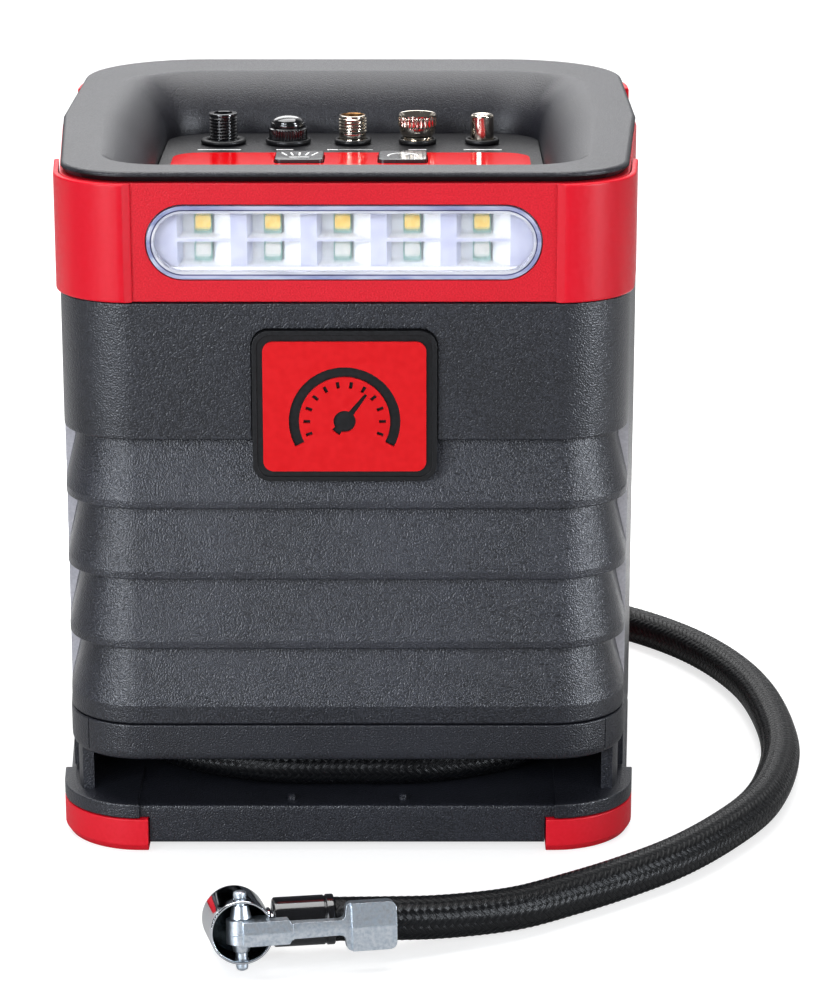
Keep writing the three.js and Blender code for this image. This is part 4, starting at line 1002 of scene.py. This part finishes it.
def top_rim():
    """A rim that rolls over into the bowl of the tray. Its outer side is painted darker than its top, as
    painted shade.
    """
    outer, inside, round_over = 0.8, BAND_INSET + 3.3, 1.1
    rings = [ring(BODY, outer + 1.1, RIM_BOTTOM), ring(BODY, outer + 0.9, RIM_BOTTOM + 0.1)]
    for t in (math.pi / 2 * k / 5 for k in range(5, -1, -1)):
        inset, z = outer + round_over * (1 - math.sin(t)), RIM_TOP - round_over * (1 - math.cos(t))
        rings.append(ring(BODY, inset, z))
    rings += [bowl_ring(share) for share in np.sin(np.linspace(0, math.pi / 2, 22)).tolist()]
    rings += [ring(BOWL_FLOOR, 0, BOWL_BOTTOM), ring(BOWL_FLOOR, -WALL, BOWL_BOTTOM),
              ring(BOWL_TOP, -0.5, SKIRT_BOTTOM), ring(BODY, inside, SKIRT_BOTTOM),
              ring(BODY, inside, RIM_BOTTOM)]
    rim = solid("rolled_rim", loft(rings, looped=True))
    place(rim, [RIM, RIM_PAINTED_SHADE], "top_rim", smooth=35)

    def outside(centre, normal):
        return normal.z < 0.35 and (abs(centre.x) > 64 or not -80 < centre.y < 70)

    # The outer side gets the darker copy: painted shade.
    paint(rim, 1, outside)
    return rim


lamp_band()
for corner in CORNERS:
    corner_guard(*corner)
top_rim()


# ---- Badge --------------------------------------------------------------------------------------

def badge():
    """A raised black plate with a border around it."""
    width, height, radius = BADGE["width"], BADGE["height"], BADGE["radius"]
    z, front, border = BADGE["z"], BADGE["front"], 1.1
    plate = solid("badge_panel", tile(width, height, radius, z, front + 0.35, BADGE["back"]))
    rim = solid("badge_rim", tile(width, height, radius, z, front, front + 1))
    cut(rim, tile(width - 2 * border, height - 2 * border, radius - 1, z, front - 1, front + 2))
    soften(plate, 0.3, 3, 40)
    soften(rim, 0.25, 3, 40)
    place(plate, BADGE_BLACK, "badge_plate")
    place(rim, BADGE_BLACK)


def dial_arc(x, y, inner, outer, start, end, steps=40):
    """The outline of a curved band between two angles in degrees."""
    return arc(x, y, outer, start, end, steps) + list(reversed(arc(x, y, inner, start, end, steps)))


def badge_inlay():
    """A red panel with a pressure dial cut out of it."""
    z, front, margin = BADGE["z"], BADGE["front"], DIAL["margin"]
    hub_z, back = z - DIAL["below"], front + 0.6
    width, height = BADGE["width"] - 2 * margin, BADGE["height"] - 2 * margin
    through = (front - 2, back + 1)
    panel = solid("badge_emblem", tile(width, height, 2.4, z, front - 0.45, back))
    scale = dial_arc(0, hub_z, DIAL["inner"], DIAL["outer"], DIAL["start"], DIAL["end"])
    cut(panel, upstand(scale, *through))
    for angle in range(-20, 201, 20):
        tick = box((8.0, 9.6), through, (-0.4, 0.4))
        cut(panel, moved(tick, shift(0, 0, hub_z) @ turn("Y", -angle)))
    reach = DIAL["needle"]
    needle = upstand([(-3.4, -1.1), (-3.4, 1.1), (reach, 0.35), (reach, -0.35)], *through)
    cut(panel, moved(needle, shift(0, 0, hub_z) @ turn("Y", -52)), level(DIAL["hub"], *through, 0, hub_z))
    soften(panel, 0.14, 2, 50)
    place(panel, EMBLEM_RED, "badge_inlay")


badge()
badge_inlay()


# ---- Work light ---------------------------------------------------------------------------------

LAMP_COLUMNS = [(i - (LAMP["columns"] - 1) / 2) * LAMP["pitch_x"] for i in range(LAMP["columns"])]
LAMP_ROWS = [LAMP["z"] - LAMP["pitch_z"] / 2, LAMP["z"] + LAMP["pitch_z"] / 2]


LENS_EDGES = (           # name, inset of the outside and of the inside, depth below the face, look
    ("lens_rim", 0.3, 1.15, 0, LENS_EDGE),
    ("lens_groove", 1.1, 1.5, 0.35, LENS_GROOVE),
    ("lens_lip", 1.42, 2.0, 0.1, LENS_LIP),
)


def lamp_lens():
    """A clear pane inside a moulded edge: an outer band, a groove and an inner lip. The groove's dark blue is
    painted shade and the lip's near white is painted light.
    """
    face = LAMP["face"]
    for name, outer, inner, drop, look in LENS_EDGES:
        edge = solid(name, upstand(stadium(outer), face + drop, face + 3))
        cut(edge, upstand(stadium(inner), face - 1, face + 4))
        soften(edge, 0.22, 3, 50)
        place(edge, look, smooth=50)
    pane = solid("lens_pane", upstand(stadium(2.05), face + 0.5, face + 2.2))
    soften(pane, 0.2, 2, 50)
    place(pane, LENS, "lamp_lens")


def rectangle(x0, x1, z0, z1, y):
    return [(x0, y, z0), (x1, y, z0), (x1, y, z1), (x0, y, z1)]


def lamp_reflector():
    """A tray with a white funnel around each chip: deep on the left, with a bright slope on the right,
    and a rounded ledge along the bottom. Its front and the funnels' left walls are lavender-grey: painted
    shade."""
    front, back, lamp_z = -82.1, -77.5, LAMP["z"]
    made = solid("lamp_funnels", box((-50, 50), (front, back), (lamp_z - 9.6, lamp_z + 9.6)))
    for x in LAMP_COLUMNS:
        for z in LAMP_ROWS:
            seat = (x - 5.2, x + 2.1, z - 2.3, z + 2.3)
            mouth = (x - 6.3, x + 6.1, z - 2.85, z + 2.85)
            sections = ((seat, back + 1), (seat, back - 0.6), (mouth, front - 0.01), (mouth, front - 1))
            cut(made, loft([rectangle(*bounds, y) for bounds, y in sections]))
    soften(made, 0.7, 4, 30)
    place(made, [REFLECTOR, REFLECTOR_PAINTED_SHADE], "lamp_reflector")

    def satin(centre, normal):
        return normal.x > 0.25 or (normal.y < -0.9 and centre.y < front + 0.1)

    # Faces turned right and the front frames get lavender-grey: painted shade.
    paint(made, 1, satin)
    ledge = solid("lamp_ledge", tile(82, 1.5, 0.7, lamp_z - 6.9, front - 1, front - 0.05))
    soften(ledge, 0.3, 3, 40)
    place(ledge, REFLECTOR)


def lamp_board():
    """Two rows of chips on a board, each a package with a pool of phosphor in it."""
    board = solid("led_board", tile(98, 16.8, 1, LAMP["z"], -77.2, -75.6))
    place(board, REFLECTOR, "lamp_board")
    for row, (z, look) in enumerate(zip(LAMP_ROWS, (PHOSPHOR_COOL, PHOSPHOR_WARM))):
        for column, middle in enumerate(LAMP_COLUMNS):
            x, pool_z = middle - 0.4, z + 0.3
            package = solid(f"led_{row}_{column}", tile(4.1, 4.5, 0.3, z, -78.9, -77.3, x))
            cut(package, tile(3.7, 3.4, 0.6, pool_z, -79.5, -78.5, x))
            soften(package, 0.1, 2, 40)
            place(package, CHIP_WHITE)
            pool = solid(f"led_gel_{row}_{column}", tile(3.6, 3.3, 0.6, pool_z, -78.95, -78.4, x))
            soften(pool, 0.12, 2, 40)
            place(pool, look)


lamp_lens()
lamp_reflector()
lamp_board()


# ---- Tray: panel, label, display, keys and printed lines ----------------------------------------

PRINT_WIDTHS = (11.4, 4.5, 12, 4.7, 10)


def adapter_x(i):
    return (i - 2) * ADAPTER_PITCH


def key_shapes(grow, z0, z1):
    """The four keys' outlines, grown a little and extruded: two square and two round."""
    size, radius = KEY["size"] + 2 * grow, ROUND_KEY["radius"] + grow
    squares = [rounded_rect(size, size, 1.5, side * KEY["x"], KEY["y"]) for side in (-1, 1)]
    rounds = [upright(radius, z0, z1, side * ROUND_KEY["x"], ROUND_KEY["y"], 48) for side in (-1, 1)]
    return [slab(outline, z0, z1) for outline in squares] + rounds


def tray_panel():
    panel = solid("tray_floor", loft([ring(BOWL_FLOOR, 0.3, BOWL_BOTTOM), ring(BOWL_FLOOR, 0.3, TRAY_FLOOR)]))
    cut(panel, *[upright(3.2, TRAY_FLOOR - 3, TRAY_FLOOR + 1, adapter_x(i), ADAPTER_Y) for i in range(5)])
    cut(panel, *key_shapes(KEY["clearance"], TRAY_FLOOR - KEY["depth"], TRAY_FLOOR + 1))
    return place(panel, TRAY, "tray_panel")


def panel_label():
    z = TRAY_FLOOR + 0.02
    depth = LABEL["rear"] - LABEL["front"]
    outline = rounded_rect(2 * LABEL["half_width"], depth, LABEL["radius"], 0, LABEL["front"] + depth / 2)
    label = solid("tray_label", slab(outline, z, z + LABEL["thickness"]))
    window = rounded_rect(DISPLAY["width"] + 0.6, DISPLAY["height"] + 0.6, 1.7, 0, DISPLAY["y"])
    cut(label, slab(window, z - 1, z + 2), *key_shapes(KEY["clearance"], z - 1, z + 2))
    soften(label, 0.12, 2, 50)
    return place(label, LABEL_RED, "panel_label")


def printed(name, shapes, body="housing"):
    return place(solid(name, *shapes), PRINT_WHITE, body=body)


def adapter_lines():
    """White printed lines in front of the adapters. The middle one is thick at its left end only."""
    y, z0, z1 = ADAPTER_Y - 9.6, TRAY_FLOOR - 0.1, TRAY_FLOOR + 0.05
    thick, thin = 0.75, 0.28
    lines = []
    for i, width in enumerate(PRINT_WIDTHS):
        x = adapter_x(i) - (0.6 if i < 3 else 0)
        if i == 2:
            lines.append((width * 0.24, thick, x - width * 0.38))
            lines.append((width * 0.75, thin, x + width * 0.13))
        else:
            lines.append((width, thick, x))
    printed("adapter_lines", [slab(rounded_rect(w, d, 0.1, x, y, 3), z0, z1) for w, d, x in lines])


def key(node, outline):
    """A key's cap on its own body. Returns the height of the cap's top."""
    low, height = TRAY_FLOOR - KEY["depth"] + 1.1, 2.7
    cap = solid(node + "_cap", slab(outline, low, low + height))
    soften(cap, 0.35, 3, 50)
    place(cap, KEY_BLACK, node, body=node.replace("_button", "_key"))
    return low + height


def strip(start, end, width, z0, z1):
    """A straight printed stroke between two points."""
    (x0, y0), (x1, y1) = start, end
    length, angle = math.hypot(x1 - x0, y1 - y0), math.degrees(math.atan2(y1 - y0, x1 - x0))
    bar = box((-length / 2, length / 2), (-width / 2, width / 2), (z0, z1))
    return moved(bar, shift((x0 + x1) / 2, (y0 + y1) / 2, 0) @ turn("Z", angle))


def lamp_symbol(x, y, z0, z1):
    """A lamp that throws rays."""
    rays = [strip((x + 1.6 * k, y - 0.6), (x + 2.3 * k, y + 3.4), 0.45, z0, z1) for k in (-2, -1, 0, 1, 2)]
    return [strip((x - 2.6, y - 3), (x + 2.6, y - 3), 0.5, z0, z1)] + rays


def dial_symbol(x, y, z0, z1):
    """A dial with a needle."""
    return [slab(dial_arc(x, y - 1, 3.5, 4, -10, 190, 24), z0, z1),
            strip((x, y - 1), (x + 1.8, y + 1.7), 0.5, z0, z1)]


def minus_symbol(x, y, z0, z1):
    return [box((x - 2.4, x + 2.4), (y - 0.35, y + 0.35), (z0, z1))]


def plus_symbol(x, y, z0, z1):
    upper = box((x - 0.35, x + 0.35), (y + 0.37, y + 2.4), (z0, z1))
    lower = box((x - 0.35, x + 0.35), (y - 2.4, y - 0.37), (z0, z1))
    return minus_symbol(x, y, z0, z1) + [lower, upper]


def tray_keys():
    """Square keys for the light and the mode, round ones for less and more pressure."""
    size, radius = KEY["size"], ROUND_KEY["radius"]
    for node, side, symbol in (("light_button", -1, lamp_symbol), ("mode_button", 1, dial_symbol),
                               ("minus_button", -1, minus_symbol), ("plus_button", 1, plus_symbol)):
        square = symbol in (lamp_symbol, dial_symbol)
        x, y = (side * KEY["x"], KEY["y"]) if square else (side * ROUND_KEY["x"], ROUND_KEY["y"])
        outline = rounded_rect(size, size, 1.5, x, y) if square else arc(x, y, radius, 0, 354, 59)
        top = key(node, outline)
        strokes = symbol(x, y, top - 0.1, top + 0.04)
        printed(node + "_symbol", strokes, node.replace("_button", "_key"))


DIGIT_BARS = ((0, 5, True), (0, 0, True), (0, -5, True), (-2.6, 2.5, False), (2.6, 2.5, False),
              (-2.6, -2.5, False), (2.6, -2.5, False))     # offset in X and Y, and whether it lies across


def display():
    """A dark window with the bars of three unlit digits."""
    outline = rounded_rect(DISPLAY["width"], DISPLAY["height"], 1.5, 0, DISPLAY["y"])
    window = solid("display_glass", slab(outline, TRAY_FLOOR + 0.02, TRAY_FLOOR + 1.3))
    soften(window, 0.3, 3, 50)
    place(window, GLOSS_BLACK, "display_window")
    segments = []
    for digit_x in (-9, 0, 9):
        for dx, dy, across in DIGIT_BARS:
            w, d = (3.8, 0.7) if across else (0.7, 3.8)
            x, y = digit_x + dx, DISPLAY["y"] + dy
            segments.append(box((x - w / 2, x + w / 2), (y - d / 2, y + d / 2),
                                (TRAY_FLOOR + 1.2, TRAY_FLOOR + 1.33)))
    place(solid("display_segments", *segments), KEY_BLACK)


tray_panel()
panel_label()
adapter_lines()
tray_keys()
display()


# ---- Valve adapters -----------------------------------------------------------------------------

STUB = [(0, -2.6), (2.6, -2.6), (2.8, -2.4), (2.8, 0.2)]


def threaded(radius, crest, pitch, z0, z1, sides=64):
    """Rings of a helical thread between two heights, which fades in and out over half a turn."""
    steps = int((z1 - z0) / pitch * 8)
    profile = [(radius, z0 + (z1 - z0) * k / steps) for k in range(steps + 1)]

    def flank(turns, step):
        z = profile[step][1]
        fade = min(1.0, (z - z0) / (pitch / 2), (z1 - z) / (pitch / 2))
        phase = ((z - z0) / pitch - turns) % 1
        height = 1 - abs(2 * phase - 1)
        return -crest * (1 - fade * min(1.0, height * 1.25))

    return circles(profile, sides, flank)


def flutes(count, depth):
    """Rounded grooves around a piece."""
    return lambda turns, step: -depth * (0.5 - 0.5 * math.cos(2 * math.pi * count * turns)) ** 2


def black_thread():
    rings = circles(STUB + [(3.4, 0.3), (3.5, 0.5)]) + threaded(3.8, 0.32, 0.85, 0.6, 7.3)
    rings += circles([(3.5, 7.4), (3.78, 7.5), (3.8, 7.9), (3.7, 8.05), (2.75, 8.1), (2.6, 7.95), (2.6, 3),
                      (0, 3)])
    return rings


def valve_cap():
    ribs = flutes(36, 0.28)
    lower = circles(STUB + [(4.6, 0.25), (4.95, 0.35)], 144)
    lower += circles([(5.05, 0.5), (5.05, 3.8)], 144, ribs)
    lower += circles([(4.95, 4.0), (4.6, 4.15), (4.5, 4.3), (4.6, 4.45), (4.6, 5.35), (4.45, 5.6)], 144)
    dome = [(4.2 * math.cos(t), 5.65 + 1.75 * math.sin(t)) for t in np.linspace(0, math.pi / 2, 12).tolist()]
    return lower + circles(dome, 144)


def nickel_thread():
    rings = circles(STUB + [(3.5, 0.25)], 96)
    rings += circles([(3.75, 0.35), (3.75, 0.95)], 96, flutes(32, 0.2))
    rings += circles([(3.5, 1.05), (3.45, 1.3), (3.6, 1.5), (3.6, 2.9)], 96)
    rings += threaded(3.88, 0.3, 0.85, 3.0, 7.1, 96)
    rings += circles([(3.6, 7.25), (3.45, 7.5), (3.15, 7.55), (3.0, 7.4), (3.0, 2.5), (0, 2.5)], 96)
    return rings


def nickel_dish():
    rings = circles(STUB + [(4.0, 0.25), (4.15, 0.5), (4.15, 0.8), (3.9, 1.05), (3.7, 1.2), (3.85, 1.4),
                            (4.05, 1.6), (3.95, 1.85), (4.1, 2.1), (4.5, 2.7), (4.75, 3.3), (4.85, 4.0),
                            (4.85, 4.5)], 144)
    rings += circles([(5.0, 4.65), (5.08, 4.9), (5.08, 6.9), (5.0, 7.15)], 144, flutes(24, 0.34))
    rings += circles([(4.95, 7.4), (4.98, 7.65), (4.8, 7.9), (4.5, 7.85), (3.6, 6.6), (3.4, 6.2),
                      (3.4, 4.4), (0, 4.4)], 144)
    return rings


def nickel_pin():
    rings = circles(STUB + [(3.35, 0.25), (3.4, 0.6), (3.15, 0.75), (3.12, 0.9), (3.12, 7.1), (2.95, 7.5),
                            (2.75, 7.65), (2.3, 7.62), (1.3, 7.45), (0.9, 7.4), (0.8, 7.2), (0.8, 5.6),
                            (0, 5.6)])
    return rings


ADAPTERS = (             # maker, looks, slot, inner and outer radius of its rubber ring
    (black_thread, [GLOSS_BLACK], "gloss_black", 3.96, 6.05),
    (valve_cap, [GLOSS_BLACK], "gloss_black", 5.21, 6.0),
    (nickel_thread, [NICKEL, BRASS], "nickel", 3.81, 4.9),
    (nickel_dish, [NICKEL], "nickel", 4.31, 5.0),
    (nickel_pin, [NICKEL], "nickel", 3.5, 4.6),
)


def seal(name, inner, outer, at):
    """A rubber ring around an adapter's foot, round in section."""
    middle, half = (inner + outer) / 2, (outer - inner) / 2
    section = [(middle + half * x, 0.72 + 0.7 * y) for x, y in arc(0, 0, 1, 0, 337.5, 15)]
    made = solid("ring_" + name, moved(loft(circles(section, 72), looped=True), at))
    place(made, RUBBER, "seal_" + name, smooth=60)


def valve_adapter(i, maker, looks, slot, inner, outer):
    """An adapter on its own body, in its rubber ring. Its second look is for its bore."""
    name, x = maker.__name__, adapter_x(i)
    at = shift(x, ADAPTER_Y, TRAY_FLOOR)
    adapter = solid("valve_" + name, moved(loft(maker()), at @ shift(0, 0, 0.1)))
    place(adapter, looks, "adapter_" + name, body="held_" + name, smooth=40)

    def in_bore(centre, normal):
        return math.hypot(centre.x - x, centre.y - ADAPTER_Y) < 3.1 and centre.z > TRAY_FLOOR + 2

    if len(looks) > 1:
        paint(adapter, 1, in_bore)
    seal(name, inner, outer, at)


for i, adapter_facts in enumerate(ADAPTERS):
    valve_adapter(i, *adapter_facts)


# ---- Rear inlet ---------------------------------------------------------------------------------

def power_inlet():
    """A recessed socket with one round pin."""
    z, face = INLET["z"], INLET["face"]
    bezel = solid("inlet_bezel", tile(34, 23.1, 3, z - 0.95, face, face + 1.3))
    join(bezel, box((-13, 13), (72, face + 0.5), (z - 9, z + 9)))
    cut(bezel, tile(22, 14, 2, z, 74.5, FAR))
    join(bezel, level(1.2, 73, 84, 0, z, 24))
    soften(bezel, 0.3, 2, 40)
    place(bezel, DARK, "power_inlet")


def inlet_cover():
    """A rubber flap on a round hinge, with a finger notch in its lower edge."""
    z, hinge_z, front = INLET["z"], INLET["hinge_z"], INLET["face"] + 1.6
    cover = solid("inlet_flap_cover", tile(28, 22.2, 2.5, z + 1.1, front, front + 1.9))
    cut(cover, box((-15, 15), (front - 1, front + 5), (hinge_z, FAR)))
    join(cover, moved(turned([(1.3, -14), (1.3, 14)], 32), shift(0, front + 1.3, hinge_z) @ ALONG_X))
    cut(cover, box((-5, 5), (front + 1.5, front + 3), (z - 9.4, z - 8)))
    soften(cover, 0.3, 3, 40)
    place(cover, RUBBER, "inlet_cover", body="inlet_flap")


power_inlet()
inlet_cover()


# ---- CAD nodes that stay: the pieces inside the case --------------------------------------------

KEPT = {
    "bottom_plate": DARK, "hose_gland": STEEL, "battery_pack": CELL_WRAP, "control_board": BOARD,
    "motor": STEEL,
    "motor_pinion": STEEL, "cooling_fan": DARK, "compressor_frame": CAST, "crank_gear": STEEL,
    "piston_rod": STEEL,
    "cylinder_head": CAST,
}
for node, look in KEPT.items():
    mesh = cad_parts[node].data
    mesh.materials.clear()
    mesh.materials.append(look)


# ---- Studio -------------------------------------------------------------------------------------

COOL, NEUTRAL = (0.88, 0.93, 1.0), (1, 1, 1)
AIM = (0, 0, 0.09)
LIGHTS = (               # name, place, width and height, watts, colour, kind of light that it doesn't give
    ("top softbox", (-0.1, 0.25, 1.3), (1.3, 1.1), 27, NEUTRAL, None),
    ("rear softbox", (-0.3, 1.45, 0.98), (1.3, 0.6), 7, NEUTRAL, None),
    ("left softbox", (-0.85, -0.85, 0.42), (0.14, 0.6), 5, COOL, None),
    ("right fill", (1.2, -0.9, 0.5), (0.4, 0.6), 5, COOL, None),
    ("front fill", (0.3, -1.6, 0.9), (0.8, 0.6), 9, NEUTRAL, "visible_glossy"),
    ("left strip", (-0.67, -0.95, 0.38), (0.13, 0.7), 9, COOL, "visible_diffuse"),
    ("right strip", (1.02, -0.6, 0.38), (0.16, 0.7), 15, COOL, "visible_diffuse"),
    ("low front softbox", (-0.6, -1.65, 0.62), (0.6, 0.3), 8.5, COOL, None),
)


def area_light(name, at, size, watts, colour, withheld):
    data = bpy.data.lights.new(name, "AREA")
    data.shape, data.size, data.size_y = "RECTANGLE", size[0], size[1]
    data.energy, data.color = watts, colour
    lamp = bpy.data.objects.new(name, data)
    lamp.location = at
    lamp.rotation_euler = (Vector(AIM) - Vector(at)).to_track_quat("-Z", "Y").to_euler()
    lamp.visible_camera = False
    if withheld:
        setattr(lamp, withheld, False)
    bpy.context.scene.collection.objects.link(lamp)


def studio():
    floor = solid("floor", box((-6000, 6000), (-6000, 6000), (-10, 0)))
    floor.data.materials.append(floor_look())
    for light in LIGHTS:
        area_light(*light)
    bpy.context.scene.world = studio_world()
    bpy.context.scene.view_settings.view_transform = "Standard"


def studio_world():
    """White to look at. It lights the object from above and behind, and is dark in front and near the
    horizon, as black cards beside an object make it, so that its edges stay dark against the white."""
    world = bpy.data.worlds.new("studio")
    world.use_nodes = True
    nodes, links = world.node_tree.nodes, world.node_tree.links
    direction = nodes.new("ShaderNodeSeparateXYZ")
    links.new(nodes.new("ShaderNodeTexCoord").outputs["Generated"], direction.inputs[0])
    product = nodes.new("ShaderNodeMath")
    product.operation = "MULTIPLY"
    for axis, bounds in (("Y", (0.35, 0.95, 0.1, 1.0)), ("Z", (0.03, 0.3, 0.25, 1.0))):
        ramp = nodes.new("ShaderNodeMapRange")
        ramp.interpolation_type = "SMOOTHSTEP"
        links.new(direction.outputs[axis], ramp.inputs["Value"])
        for name, value in zip(("From Min", "From Max", "To Min", "To Max"), bounds):
            ramp.inputs[name].default_value = value
        links.new(ramp.outputs[0], product.inputs["YZ".index(axis)])
    seen = nodes.new("ShaderNodeMix")
    links.new(nodes.new("ShaderNodeLightPath").outputs["Is Camera Ray"], seen.inputs[0])
    links.new(product.outputs[0], seen.inputs[2])
    seen.inputs[3].default_value = 1.0
    links.new(seen.outputs[0], nodes["Background"].inputs["Strength"])
    nodes["Background"].inputs["Color"].default_value = (0.97, 0.98, 1.0, 1)
    return world


studio()
